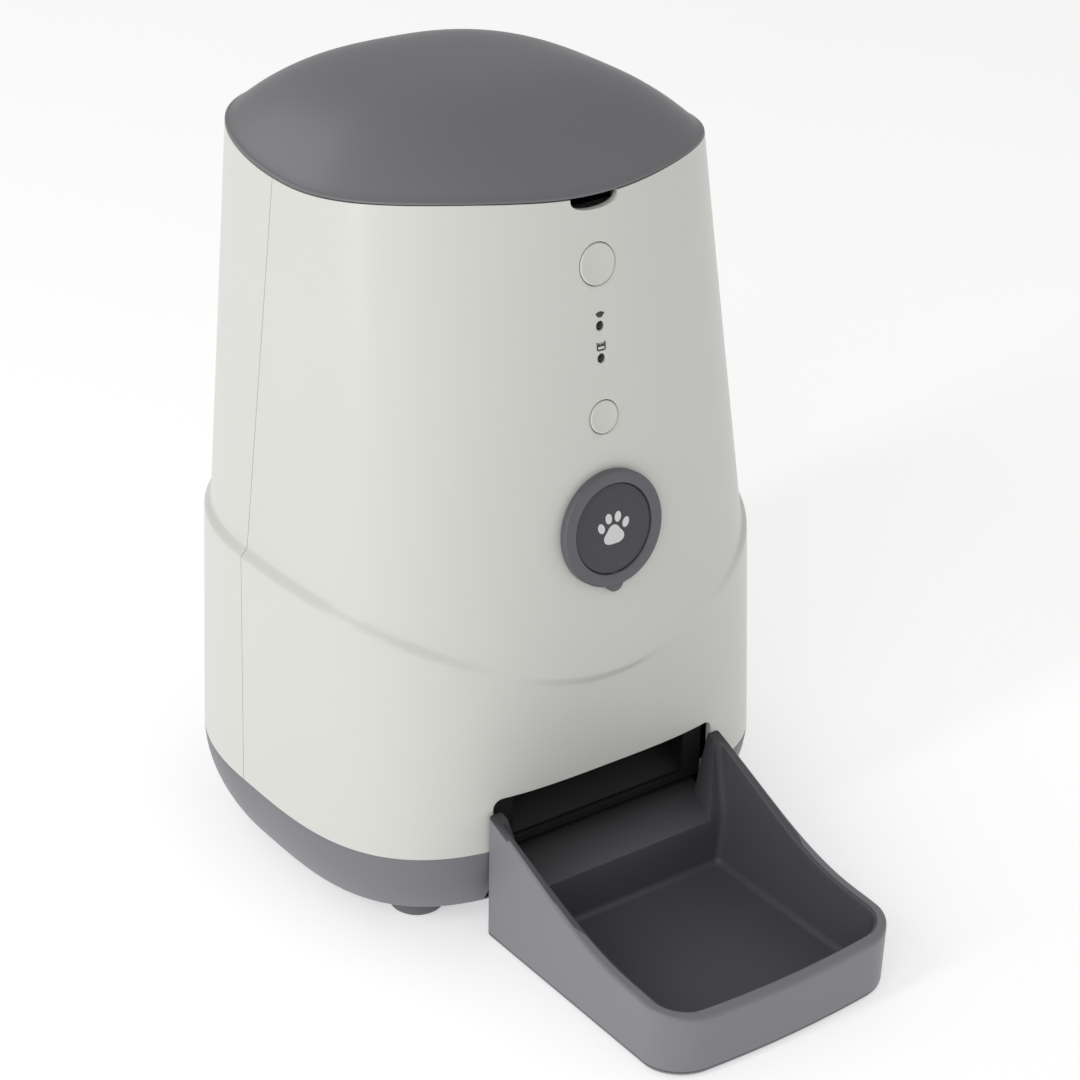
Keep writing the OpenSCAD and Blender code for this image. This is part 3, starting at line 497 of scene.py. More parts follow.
FINISHES.update({
    "light_lens": smoked_lens("smoked_lens", linear(8, 8, 9), coat=0.15),
    "cell_sleeve": smoked_lens("cell_sleeve_film", linear(58, 60, 66)),
    "foot_rubber": soft_rubber("foot_rubber_finish", linear(104, 104, 109)),
    "seal_rubber": soft_rubber("seal_rubber_finish", linear(196, 196, 194)),
    "wiper_rubber": soft_rubber("wiper_rubber_finish", linear(54, 54, 56)),
    "steel": ground_metal("ground_steel", (0.60, 0.60, 0.61, 1)),
    "motor_steel": ground_metal("drawn_motor_can", (0.50, 0.50, 0.51, 1), 0.36),
    "brass": ground_metal("machined_brass", (0.72, 0.52, 0.25, 1), 0.28),
    "board_green": circuit_board("board_lacquer", linear(24, 82, 50)),
    "contact_metal": ground_metal("plated_contact", (0.62, 0.60, 0.55, 1), 0.25),
})
SLOT_OF = {row["node"]: row["material_slot"] for row in frame["record"]["subparts"]}
for node, piece in frame["nodes"].items():
    piece.data.materials.clear()
    piece.data.materials.append(FINISHES[SLOT_OF[node]])
print("finishes on", len(frame["nodes"]), "CAD nodes")


# %% Handing a finished piece over
def hand_over(piece, slot, body, *nodes):
    """Gives the piece its finish and its body, and lets it stand for its CAD nodes."""
    piece.data.materials.clear()
    piece.data.materials.append(FINISHES[slot])
    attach(piece, body)
    if nodes:
        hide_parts(*nodes)
    print(piece.name, len(piece.data.polygons), "faces")
    return piece


# %% [markdown]
# ## The body shells
#
# Front and rear are two moulded half shells that meet in a fine seam on each side. Each is a grid
# laid on the outline, with more rows where the ledge sweeps down across the front. Solidify gives
# the wall, and boolean cutters make the openings.

# %% Rows of the shells
LOWER_ROWS, BAND_ROWS, UPPER_ROWS, ACROSS = 30, 10, 52, 150


def seam_angle(size, z, y):
    return math.asin((y - centre_y(z)) / size[0])


def row_size(i, phi, inset=0.0):
    """Height and outline sizes of row i: lower body, band of the ledge, then upper body."""
    low, high = ledge_h(phi), ledge_h(phi) + LEDGE_RISE
    if i <= LOWER_ROWS:
        z = mix(BORDER_Z, low, i / LOWER_ROWS)
        return z, lower_size(z, inset)
    if i < LOWER_ROWS + BAND_ROWS:
        t = (i - LOWER_ROWS) / BAND_ROWS
        z = mix(low, high, t)
        s = t * t * (3 - 2 * t)
        return z, [mix(a, b, s) for a, b in zip(lower_size(z, inset), upper_size(z, inset))]
    t = (i - LOWER_ROWS - BAND_ROWS) / UPPER_ROWS
    z = mix(high, rim_h(phi), t)
    return z, upper_size(z, inset)


def shell_place(side):
    """Place function of a half shell: side -1 is the front, 1 the rear."""

    def place(i, j):
        t = j / (ACROSS - 1)
        phi = HALF_TURN + HALF_TURN * t if side < 0 else HALF_TURN * t
        for _ in range(3):
            z, size = row_size(i, phi)
            s = seam_angle(size, z, side * SEAM / 2)
            phi = mix(HALF_TURN - s, 2 * HALF_TURN + s, t) if side < 0 else mix(s, HALF_TURN - s, t)
        z, size = row_size(i, phi)
        r = outline_r(size, phi)
        return r * math.cos(phi), centre_y(z) + r * math.sin(phi), z

    return place


def half_shell(name, side):
    piece = laid_grid(name, LOWER_ROWS + BAND_ROWS + UPPER_ROWS + 1, ACROSS, shell_place(side))
    return modify(piece, "SOLIDIFY", thickness=WALL * MM, offset=-1, use_even_offset=True)


rear_shell = half_shell("rear_body_shell", 1)
front_shell = half_shell("front_body_shell", -1)
print("shell faces", len(front_shell.data.polygons))

# %% [markdown]
# ## Openings in the front shell
#
# The mouth for the tray is a rounded rectangle, the notch under the lid gives a finger a hold, and
# round holes take the buttons, the lights and the plug of the front cap. Each cutter widens
# towards the outside, so a moulded hole gets its small rounded edge in the same cut.


# %% Cutters
def hole_cutter(name, radius, soft=0.45):
    """A round cutter whose outer end flares like a rounded edge."""
    profile = [(0.0, 9.0), (radius, 9.0), (radius, soft)]
    profile += [(radius + soft * (1 - math.cos(a)), soft - soft * math.sin(a) - 0.03)
                for a in (0.4, 0.8, 1.2, HALF_TURN / 2)]
    profile += [(radius + soft, -4.0), (0.0, -4.0)]
    return turned(name, profile, 72)


def slab_outline(name, outline, y0, y1):
    """Extrudes an outline of (x, z) points along Y."""
    n = len(outline)

    def place(i, j):
        if i in (0, 3):
            x = sum(p[0] for p in outline) / n
            z = sum(p[1] for p in outline) / n
        else:
            x, z = outline[j % n]
        return x, (y0 if i < 2 else y1) - BODY_Y, z

    return weld(laid_grid(name, 4, n + 1, place))


def rounded_outline(x0, x1, z0, z1, radii, steps=8):
    """Points round a rectangle; radii are for the corners x0 z0, x1 z0, x1 z1 and x0 z1."""
    corners = [(x0, z0, 1, 1, 2), (x1, z0, -1, 1, 3), (x1, z1, -1, -1, 0), (x0, z1, 1, -1, 1)]
    points = []
    for (x, z, sx, sz, quarter), r in zip(corners, radii):
        for k in range(steps + 1):
            a = HALF_TURN / 2 * (quarter + k / steps)
            points.append((x + sx * r + r * math.cos(a), z + sz * r + r * math.sin(a)))
    return points


OUTLET_HALF, OUTLET_TOP = 52.4, 60.5
FEED_Z, LINK_Z, CAP_Z = 257, 200.5, 158.5
NET_Z, FOOD_Z = 234.5, 222.5
FEED_D, LINK_D, BUTTON_GAP, LIGHT_D = 15.4, 12.4, 0.3, 3.2
CAP_D, DISC_D, CAP_PROUD = 44.8, 34.6, 3.4
NOTCH_W, NOTCH_H = 21, 4.6

mouth = slab_outline("mouth", rounded_outline(-OUTLET_HALF, OUTLET_HALF, 0, OUTLET_TOP, (1, 1, 4, 4)),
                     BODY_Y - FOOT[1] - 10, BODY_Y - FOOT[1] + 30)
notch_low = rim_h(-HALF_TURN / 2) - NOTCH_H
NOTCH_POWER = 0.75
crescent = [(NOTCH_W / 2 * math.cos(a), notch_low + NOTCH_H * (1 - abs(math.sin(a)) ** NOTCH_POWER))
            for a in (HALF_TURN * (1 + k / 32) for k in range(33))]
notch = slab_outline("notch", crescent + [(NOTCH_W / 2, notch_low + 14), (-NOTCH_W / 2, notch_low + 14)],
                     BODY_Y + front_y(RIM_Z) - 9, BODY_Y + front_y(RIM_Z) + 9)
holes = [on_front(hole_cutter("feed_hole", FEED_D / 2 + BUTTON_GAP), FEED_Z),
         on_front(hole_cutter("link_hole", LINK_D / 2 + BUTTON_GAP), LINK_Z),
         on_front(hole_cutter("net_hole", LIGHT_D / 2 + 0.2, 0.25), NET_Z),
         on_front(hole_cutter("food_hole", LIGHT_D / 2 + 0.2, 0.25), FOOD_Z),
         on_front(hole_cutter("cap_hole", CAP_D / 2 - 8, 0.3), CAP_Z)]
cut(front_shell, mouth, notch, *holes)
print("front shell after its openings", len(front_shell.data.polygons), "faces")

# %% Edges of the shells
def mouth_edge(middle, along):
    beside = abs(middle.x) < OUTLET_HALF + 0.3
    return beside and middle.y < -88 and 39.5 < middle.z < OUTLET_TOP + 0.5


bevel_where(front_shell, mouth_edge, 0.9, 4)
bevel_where(front_shell, lambda m, a: m.z > notch_low - 0.3 and abs(m.x) < NOTCH_W / 2 + 0.3 and m.y < -70,
            0.5, 3)
for shell in (front_shell, rear_shell):
    smooth(shell, 40)

# %% [markdown]
# ## Screw bosses
#
# Four bosses on each side hold the shells together along the seam. They are short tubes on the
# inside, each with its hole.


# %% Bosses inside the shells
def boss(name, x, z, y0, y1, hole):
    post = rod(name, 4.2, y0 + BODY_Y, y1 + BODY_Y, x, z, 32)
    return cut(post, rod("boss_hole", hole, y0 + BODY_Y - 1, y1 + BODY_Y + 1, x, z, 24))


def bosses(name, y0, y1, hole):
    made = []
    for z in (70, 118, 190, 250):
        half = (lower_size(z) if z < LEDGE_Z else upper_size(z))[0] - WALL - 3.6
        made += [boss("boss", side * half, z, y0, y1, hole) for side in (-1, 1)]
    return smooth(joined(name, made))


hand_over(joined("front_shell_moulding", [front_shell, bosses("front_bosses", -11, -SEAM / 2, 1.3)]),
          "body_shell", "housing", "front_shell")
hand_over(joined("rear_shell_moulding", [rear_shell, bosses("rear_bosses", SEAM / 2, 11, 1.7)]),
          "body_shell", "housing", "rear_shell")

# %% [markdown]
# ## The lid
#
# The lid is a shallow dome. Its edge follows the wavy rim of the body and is rounded over, and a
# lip below it plugs into the body. The dome is rings of the rim's outline that shrink towards the
# middle, so the whole lid is one grid, joined round the back and closed at the pole.

# %% Rings of the lid
LID_MIDDLE = centre_y(RIM_Z) + (RIM[2] - RIM[1]) / 2
LID_GAP, LIP_DEPTH, LIP_T, SLIDE_GAP = 0.25, 7, 2, 0.4
DOME_H = TOTAL_H - RIM_Z + RIM_WAVE / 2
AROUND = 200


def dome_point(k, phi, inset):
    size = upper_size(RIM_Z, inset)
    r = outline_r(size, phi)
    x, y = r * math.cos(phi), centre_y(RIM_Z) + r * math.sin(phi)
    middle = RIM_Z - RIM_WAVE / 2
    z = mix(middle, rim_h(phi) + LID_GAP, k ** 3) + (DOME_H - inset) * (1 - k ** 3)
    return x * k, LID_MIDDLE + (y - LID_MIDDLE) * k, z


def rim_point(drop, phi, inset):
    r = outline_r(upper_size(RIM_Z, inset), phi)
    return r * math.cos(phi), centre_y(RIM_Z) + r * math.sin(phi), rim_h(phi) + LID_GAP - drop


def edge_point(t, phi):
    """Quarter round from the dome to the side of the lid's edge, t from 0 to 1."""
    top, side = dome_point(0.984, phi, 0), rim_point(-0.35, phi, 0)
    a = t * HALF_TURN / 2
    corner = (side[0], side[1], top[2] - 0.25)
    s, c = math.sin(a), math.cos(a)
    w = (1 - t) ** 2, 2 * t * (1 - t), t * t
    return tuple(w[0] * p + w[1] * q + w[2] * r for p, q, r in zip(top, corner, side))


LID_RINGS = [lambda phi, k=k / 36 * 0.984: dome_point(k, phi, 0) for k in range(37)]
LID_RINGS += [lambda phi, t=t / 6: edge_point(t, phi) for t in range(1, 7)]
LID_RINGS += [
    lambda phi: rim_point(-0.12, phi, 0.06), lambda phi: rim_point(0, phi, 0.3),
    lambda phi: rim_point(0, phi, WALL + SLIDE_GAP),
    lambda phi: rim_point(LIP_DEPTH - 0.4, phi, WALL + SLIDE_GAP),
    lambda phi: rim_point(LIP_DEPTH, phi, WALL + SLIDE_GAP + 0.4),
    lambda phi: rim_point(LIP_DEPTH, phi, WALL + SLIDE_GAP + LIP_T - 0.3),
    lambda phi: rim_point(LIP_DEPTH - 0.3, phi, WALL + SLIDE_GAP + LIP_T),
    lambda phi: rim_point(-0.6, phi, WALL + SLIDE_GAP + LIP_T)]
LID_RINGS += [lambda phi, k=k / 12 * 0.9: dome_point(k, phi, WALL) for k in range(12, -1, -1)]
lid = weld(laid_grid("lid_moulding", len(LID_RINGS), AROUND + 1,
                     lambda i, j: LID_RINGS[i](2 * HALF_TURN * j / AROUND)))
lip_gap = slab_outline("lip_gap", rounded_outline(-NOTCH_W / 2 - 1, NOTCH_W / 2 + 1, notch_low - 8,
                                                 rim_h(-HALF_TURN / 2) + 0.15, (1, 1, 0.1, 0.1)),
                       BODY_Y + front_y(RIM_Z) - 3, BODY_Y + front_y(RIM_Z) + 12)
cut(lid, lip_gap)
hand_over(smooth(lid, 50), "lid_grey", "lid", "lid")

# %% [markdown]
# ## The base
#
# The base is a shallow grey pan. Its skirt curves in towards the floor, so the feeder seems to
# float above its shadow, and a step at its top locates the shells.


# %% Rings of the base
def base_size(z, inset=0.0):
    t = (BORDER_Z - z) / (BORDER_Z - BASE_Z)
    return blend(FOOT, FOOT, 0, inset + SKIRT * t * t)


def base_point(z, phi, inset):
    r = outline_r(base_size(min(z, BORDER_Z), inset), phi)
    return r * math.cos(phi), r * math.sin(phi), z


PAN_FLOOR, INNER = BASE_Z + WALL, WALL + 0.2
BASE_RINGS = [lambda phi, k=k: base_point(BASE_Z, phi, k) for k in (60, 30, 10, 3, 1.6)]
BASE_RINGS += [lambda phi, a=a * HALF_TURN / 12: base_point(BASE_Z + 1.6 * (1 - math.cos(a)), phi,
                                                           1.3 * (1 - math.sin(a))) for a in range(1, 7)]
STEP_H, STEP_INSIDE = 3, INNER + 1.2
BASE_RINGS += [lambda phi, k=k / 14: base_point(mix(BASE_Z + 1.6, BORDER_Z - 0.4, k), phi, 0)
               for k in range(1, 15)]
BASE_RINGS += [lambda phi, z=z, inset=inset: base_point(z, phi, inset) for z, inset in (
    (BORDER_Z - 0.1, 0.1), (BORDER_Z - 0.02, 0.4), (BORDER_Z - 0.02, INNER), (BORDER_Z + STEP_H, INNER),
    (BORDER_Z + STEP_H, STEP_INSIDE), (BORDER_Z, STEP_INSIDE))]
BASE_RINGS += [lambda phi, k=k / 6: base_point(mix(BORDER_Z, PAN_FLOOR, k), phi, STEP_INSIDE)
               for k in range(1, 7)]
BASE_RINGS += [lambda phi, k=k: base_point(PAN_FLOOR, phi, k) for k in (10, 30, 60)]


def centred(rings, first_z, last_z):
    """Adds the two poles, on the axis, to a list of rings."""
    return [lambda phi: (0, 0, first_z)] + rings + [lambda phi: (0, 0, last_z)]


BASE_RINGS = centred(BASE_RINGS, BASE_Z, PAN_FLOOR)
base = weld(laid_grid("base_moulding", len(BASE_RINGS), 161,
                      lambda i, j: BASE_RINGS[i](2 * HALF_TURN * j / 160)))
door_low, door_high = (Vector(c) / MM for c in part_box("battery_door"))
BAY_HALF = OUTLET_HALF - 2
bay = block("bay", (-BAY_HALF, BODY_Y - FOOT[1] - 10, PAN_FLOOR), (BAY_HALF, BODY_Y - FOOT[1] + 35, 52))
door_hole = block("door_hole", (door_low.x - 0.4, door_low.y - 0.4, BASE_Z - 2),
                  (door_high.x + 0.4, door_high.y + 0.4, PAN_FLOOR + 2))
cut(base, bay, door_hole)
for x in (-76, 76):
    for y in (-26, 42):
        bpy.ops.object.select_all(action="DESELECT")
        bpy.ops.mesh.primitive_cylinder_add(vertices=40, radius=3.6 * MM, depth=6 * MM,
                                            location=(x * MM, (y + BODY_Y) * MM, (BASE_Z - 0.8) * MM))
        cut(base, settle(added("screw_pocket")))
cut(base, rod("inlet_hole", 5.7, BODY_Y + FOOT[2] - 20, BODY_Y + FOOT[2] + 10, 0, 26, 48))
hand_over(smooth(base, 40), "base_grey", "housing", "base_pan")

# %% [markdown]
# ## The tray
#
# The tray is a deep moulded bowl with tall cheeks next to the body, a low front and a thin rounded
# rim. One closed path of points runs from the middle of the underside up the outside, over the rim
# and down to the middle of the floor. Laid round the tray's outline it gives the whole bowl with
# its fillets; the passage through the rear wall is cut afterwards.

# %% Outline of the tray
TRAY_HALF, TRAY_GAP, TRAY_FLOOR, TRAY_CORNER, TRAY_BULGE = 55.5, 0.8, 2.4, 17, 3.4
TRAY_LOW, TRAY_HIGH, TRAY_WALL, TRAY_STEP, PASSAGE = 25.5, 56, 3, 24, 43
TRAY_TOP, DRAFT = TRAY_HIGH + 6, 0.6
TRAY_FRONT = -TRAY_REACH - DRAFT * (TRAY_TOP - TRAY_LOW) / (TRAY_TOP - TRAY_GAP - 2.5)
TRAY_REAR = -(FOOT[1] * (1 - (BAY_HALF / FOOT[0]) ** FOOT[3]) ** (1 / FOOT[3]) + SLIDE_GAP)
TRAY_WALL_Y = -FOOT[1] - 10.4
TRAY_LEAN, PASSAGE_FLARE = 9, 7
RAMP_END, RAMP_SLOPE = -FOOT[1] + 15, math.tan(math.radians(28))


def tray_rim(y):
    t = (TRAY_REAR - y) / (TRAY_REAR - TRAY_FRONT)
    s = min(1, t / 0.75)
    curve = 0.2 * (1 + math.cos(HALF_TURN * s)) + 0.6 * (1 - s) ** 2
    return TRAY_LOW + 3.5 * (1 - t ** 8) + (TRAY_HIGH - TRAY_LOW - 3.5) * curve


def tray_loop(inset, rear, rear_r):
    """Points round the tray at an inset from its sides and front, with its rear side at y = rear."""
    half, front, r = TRAY_HALF - inset, TRAY_FRONT + inset, max(0.4, TRAY_CORNER - inset)
    bulge_r = (TRAY_HALF ** 2 + TRAY_BULGE ** 2) / (2 * TRAY_BULGE)

    def bulged(x, y):
        """Lays the straight front on its arc, fading out along the corner."""
        arc = bulge_r - math.sqrt(bulge_r ** 2 - x * x)
        return y + arc * min(1, max(0, (front + r + 8 - y) / (r + 8)))

    left = [(-half, mix(rear - rear_r, front + r, k / 44)) for k in range(44)]
    corner = [(-half + r - r * math.cos(a), front + r - r * math.sin(a))
              for a in (HALF_TURN / 2 * k / 14 for k in range(14))]
    middle = [(mix(-half + r, 0, k / 9), front) for k in range(9)]
    one = left + corner + middle
    ring = one + [(0.0, front)] + [(-x, y) for x, y in reversed(one)]
    ring = [(x, bulged(x, y)) for x, y in ring]
    turn = [(half - rear_r + rear_r * math.cos(a), rear - rear_r + rear_r * math.sin(a))
            for a in (HALF_TURN / 2 * k / 5 for k in range(1, 6))]
    back = [(mix(half - rear_r, -half + rear_r, k / 24), rear) for k in range(1, 24)]
    return ring + turn + back + [(-x, y) for x, y in reversed(turn)]


def outer_inset(z):
    return DRAFT * (1 - (z - TRAY_GAP - 2.5) / (TRAY_TOP - TRAY_GAP - 2.5))


def inner_inset(z):
    return 7.2 - (7.2 - TRAY_WALL) * (z - TRAY_GAP - TRAY_FLOOR) / (TRAY_HIGH - TRAY_GAP - TRAY_FLOOR)


def wall_step(inset_at, z0, z1, k):
    """The inset and the height at fraction k of the way from z0 to z1 along a wall."""
    z = mix(z0, z1, k)
    return inset_at(z), z


def rear_wall(z):
    """The rear wall of the bowl stands upright below the step and leans back above it."""
    return TRAY_WALL_Y + TRAY_LEAN * max(0, z - TRAY_STEP) / (TRAY_HIGH - TRAY_STEP)


def passage_half(z):
    return PASSAGE + PASSAGE_FLARE * max(0, z - TRAY_STEP) / (TRAY_HIGH - TRAY_STEP)


FLOOR_Z, FILLET, EDGE = TRAY_GAP + TRAY_FLOOR, 3.0, 1.4
TRAY_PATH = []
for k in (30, 12, 5, 3.4):
    TRAY_PATH.append(lambda y, k=k: (k, TRAY_GAP))
for a in (HALF_TURN / 12 * k for k in range(1, 7)):
    TRAY_PATH.append(lambda y, a=a: (DRAFT + 2.8 * (1 - math.sin(a)), TRAY_GAP + 2.8 * (1 - math.cos(a))))
for k in range(1, 9):
    TRAY_PATH.append(lambda y, k=k / 8: wall_step(outer_inset, TRAY_GAP + 2.8, tray_rim(y) - EDGE, k))
for a in (HALF_TURN / 12 * k for k in range(1, 7)):
    TRAY_PATH.append(lambda y, a=a: (outer_inset(tray_rim(y)) + EDGE * (1 - math.cos(a)),
                                     tray_rim(y) - EDGE * (1 - math.sin(a))))
for a in (HALF_TURN / 12 * k for k in range(0, 7)):
    TRAY_PATH.append(lambda y, a=a: (inner_inset(tray_rim(y) - EDGE) - EDGE * (1 - math.sin(a)),
                                     tray_rim(y) - EDGE * (1 - math.cos(a))))
for k in range(1, 8):
    TRAY_PATH.append(lambda y, k=k / 7: wall_step(inner_inset, tray_rim(y) - EDGE, FLOOR_Z + FILLET, k))
for a in (HALF_TURN / 16 * k for k in range(1, 9)):
    TRAY_PATH.append(lambda y, a=a: (inner_inset(FLOOR_Z + FILLET) + FILLET * (1 - math.cos(a)),
                                     FLOOR_Z + FILLET * (1 - math.sin(a))))
for k in (20, 38):
    TRAY_PATH.append(lambda y, k=k: (k, FLOOR_Z))
OUTSIDE_ROWS, INSIDE_ROWS = 4 + 6 + 8 + 6, 22
print("tray path", len(TRAY_PATH), "points")


# %% The bowl
def tray_place(i, j):
    """Point j of ring i; the inside rings stop at the rear wall instead of the rear face."""
    if i in (0, len(TRAY_PATH) + 1):
        return 0, (TRAY_REAR + TRAY_FRONT) / 2, TRAY_GAP if i == 0 else FLOOR_Z
    path = TRAY_PATH[i - 1]
    inside = i > OUTSIDE_ROWS

    def ring(y):
        inset, z = path(y)
        if inside:
            rear = rear_wall(z) - max(0, inset - inner_inset(z))
            if i > OUTSIDE_ROWS + INSIDE_ROWS:
                rear = TRAY_WALL_Y - inset + 7
            return tray_loop(inset, rear, 2.4)[j % LOOP], z
        return tray_loop(inset, TRAY_REAR - max(0, inset - 0.6), 0.8)[j % LOOP], z

    point, z = ring(TRAY_REAR)
    for _ in range(2):
        point, z = ring(point[1])
    return point[0], point[1], z


LOOP = len(tray_loop(0, TRAY_REAR, 0.8))
tray = weld(laid_grid("tray_moulding", len(TRAY_PATH) + 2, LOOP + 1, tray_place), 0.004)
print("tray", len(tray.data.polygons), "faces round", LOOP, "points")

# %% [markdown]
# ## The passage and the ramp
#
# Food slides through a passage in the tray's rear wall, over a ramp that reaches back under the
# chute. The passage is a cutter drawn from the side, and the ramp and the tongue that guides the
# tray are joined to the bowl before its new edges are rounded.


# %% Side outlines
def side_solid(name, outline, half):
    """Extrudes an outline of (y, z) points along X to both sides; the half width is a function of z."""
    n = len(outline)
    middle = [sum(p[k] for p in outline) / n for k in (0, 1)]

    def place(i, j):
        y, z = middle if i in (0, 3) else outline[j % n]
        return (-half(z) if i < 2 else half(z)), y, z

    return weld(laid_grid(name, 4, n + 1, place))


def ramp_z(y):
    return TRAY_STEP + (y - TRAY_WALL_Y) * RAMP_SLOPE


passage = side_solid("passage", [(TRAY_WALL_Y - 3, TRAY_STEP), (TRAY_WALL_Y, TRAY_STEP),
                                 (RAMP_END, ramp_z(RAMP_END)), (RAMP_END, TRAY_HIGH + 3),
                                 (TRAY_WALL_Y - 3, TRAY_HIGH + 3)], passage_half)
ramp = side_solid("ramp", [(TRAY_REAR - 4, ramp_z(TRAY_REAR - 4)), (RAMP_END, ramp_z(RAMP_END)),
                           (RAMP_END, ramp_z(RAMP_END) - 2.2), (TRAY_REAR - 4, ramp_z(TRAY_REAR - 4) - 4)],
                  lambda z: PASSAGE + 4.9)
tongue = block("tongue", (-30, TRAY_REAR - 2 + BODY_Y, PAN_FLOOR + 1),
               (30, TRAY_REAR + 24 + BODY_Y, PAN_FLOOR + 4))
cut(tray, passage)
cut(tray, ramp, tongue, join="UNION")
bevel_where(tray, lambda m, a: abs(m.y - TRAY_WALL_Y) < 0.4 and abs(m.z - TRAY_STEP) < 0.4
            and abs(a.x) > 0.9 and abs(m.x) < PASSAGE + 0.2, 2.6, 6)
bevel_where(tray, lambda m, a: abs(m.y - rear_wall(m.z)) < 0.6 and abs(abs(m.x) - passage_half(m.z)) < 0.5
            and m.z > TRAY_STEP + 3 and abs(a.z) > 0.8, 1.3, 4)
hand_over(smooth(tray, 42), "tray_grey", "tray", "tray")
# Painted shade: faces that face into the bowl, and upward faces behind its rear wall (the ramp and the
# tongue's top), take the darker copy of the tray's grey.
tray.data.materials.append(FINISHES["tray_inside"])
for face in tray.data.polygons:
    x, y, z = face.center / MM
    y -= BODY_Y
    inward = -face.normal.x * x + face.normal.y * (TRAY_WALL_Y - 45 - y) > 0 or z < FLOOR_Z + 1
    if (z > FLOOR_Z - 0.5 and inward and y < TRAY_REAR - 0.4) or (y > TRAY_WALL_Y and face.normal.z > 0.3):
        face.material_index = 1

# %% [markdown]
# ## Feet
#
# Four round feet stand a little below the base. Their lower edge is rounded, and a thin step at
# the top shows where each is pushed in.

# %% Feet
foot_places = [(-63, -60.5), (63, -60.5), (-57, 56), (57, 56)]
feet = []
for x, y in foot_places:
    profile = [(0, 0.0), (8.6, 0.0), (9.6, 0.25), (10.4, 0.9), (10.9, 1.9), (11, 3), (11, 8.6), (10.6, 9.2),
               (10.2, 9.5),
               (2.9, 9.5), (2.9, 12.8), (0, 12.8)]

    def place(i, j, x=x, y=y, profile=profile):
        r, z = profile[i]
        a = 2 * HALF_TURN * j / 64
        return x + r * math.cos(a), y + r * math.sin(a), z

    feet.append(weld(laid_grid("foot", len(profile), 65, place)))
hand_over(smooth(joined("round_feet", feet), 40), "foot_rubber", "housing", "feet")

# %% [markdown]
# ## Buttons, lights and the round cap
#
# The buttons are shallow discs with soft edges that sit in their holes with a fine dark gap. The
# cap is a ring with a disc set into it and a small tab below for a fingernail; the disc carries a
# plain paw print.


# %% Buttons
def push_button(name, diameter, z):
    r = diameter / 2
    soft = 0.5
    profile = [(0.0, 0.02), (r * 0.5, -0.04), (r * 0.8, -0.2), (r - soft - 0.3, -0.3)]
    profile += [(r - soft + soft * math.sin(a), -0.3 + soft * (1 - math.cos(a)))
                for a in (HALF_TURN / 10 * k for k in range(0, 6))]
    profile += [(r, WALL + 0.2), (r + 1.6, WALL + 0.2), (r + 1.6, 5.0), (2.0, 5.0), (2.0, 6.4), (0.0, 6.4)]
    return smooth(on_front(turned(name, profile, 96), z), 40)


hand_over(push_button("feed_button_cap", FEED_D, FEED_Z), "button_grey", "feed_button", "feed_button")
hand_over(push_button("link_button_cap", LINK_D, LINK_Z), "button_grey", "link_button", "link_button")


# %% Lights
def light_pipe(name, z):
    r = LIGHT_D / 2
    profile = [(0, 0.45), (r * 0.6, 0.5), (r - 0.15, 0.7), (r, 0.9), (r, 10.5), (0, 10.5)]
    return smooth(on_front(turned(name, profile, 48),
                           z), 40)


hand_over(light_pipe("net_light_lens", NET_Z), "light_lens", "housing", "net_light")
hand_over(light_pipe("food_light_lens", FOOD_Z), "light_lens", "housing", "food_light")

# %% Cap ring with its tab
ring_r, disc_r = CAP_D / 2, DISC_D / 2
edge = 0.9
ring_profile = [(0.0, -1.5), (disc_r + 0.2, -1.5), (disc_r + 0.2, -CAP_PROUD + 0.5)]
ring_profile += [(disc_r + 0.2 + 0.4 * (1 - math.cos(a)), -CAP_PROUD + 0.4 - 0.4 * math.sin(a))
                 for a in (HALF_TURN / 8 * k for k in range(1, 5))]
ring_profile += [(ring_r - edge + edge * math.sin(a), -CAP_PROUD + edge * (1 - math.cos(a)))
                 for a in (HALF_TURN / 12 * k for k in range(0, 7))]
ring_profile += [(ring_r, -0.3), (ring_r - 0.6, 0.35), (ring_r - 8.4, 0.35), (ring_r - 8.4, 6.0), (0.0, 6.0)]
cap = turned("cap_ring_moulding", ring_profile, 128)
tab_r = 3.9
tab_profile = [(0.0, -CAP_PROUD + 0.5), (tab_r - 0.8, -CAP_PROUD + 0.5)]
tab_profile += [(tab_r - 0.8 + 0.8 * math.sin(a), -CAP_PROUD + 0.5 + 0.8 * (1 - math.cos(a)))
                for a in (HALF_TURN / 12 * k for k in range(1, 7))]
tab_profile += [(tab_r, -0.4), (0.0, -0.4)]
tab = turned("tab", tab_profile, 48)
tab.location.z = (-ring_r + 1.4) * MM
cut(cap, tab, join="UNION")
hand_over(smooth(on_front(cap, CAP_Z), 38), "cap_ring", "front_cap", "front_cap")

# %% Disc of the cap
disc_face = -CAP_PROUD + 0.75
disc_profile = [(0.0, disc_face - 0.14), (disc_r * 0.4, disc_face - 0.12), (disc_r * 0.75, disc_face - 0.05),
                (disc_r - 0.5, disc_face)]
disc_profile += [(disc_r - 0.5 + 0.45 * math.sin(a), disc_face + 0.45 * (1 - math.cos(a)))
                 for a in (HALF_TURN / 8 * k for k in range(1, 5))]
disc_profile += [(disc_r - 0.05, -1.55), (0.0, -1.55)]
disc = turned("cap_disc_moulding", disc_profile, 128)
hand_over(smooth(on_front(disc, CAP_Z), 38), "cap_disc", "front_cap", "front_cap_disc")


# %% [markdown]
# ## Printed marks
#
# The paw and the two small signs above the lights are printed on the plastic. Each is a flat shape
# a few hundredths of a millimetre thick, laid on the surface.


# %% Flat marks
def flat_mark(name, outline, y, thick=0.05):
    """A thin slab in the XZ plane from an outline of (x, z) points."""
    return slab_outline(name, outline, y - thick, y + 0.02)


def oval(x, z, rx, rz, turn=0.0, n=40):
    c, s = math.cos(turn), math.sin(turn)
    return [(x + rx * math.cos(a) * c - rz * math.sin(a) * s,
             z + rx * math.cos(a) * s + rz * math.sin(a) * c)
            for a in (2 * HALF_TURN * k / n for k in range(n))]


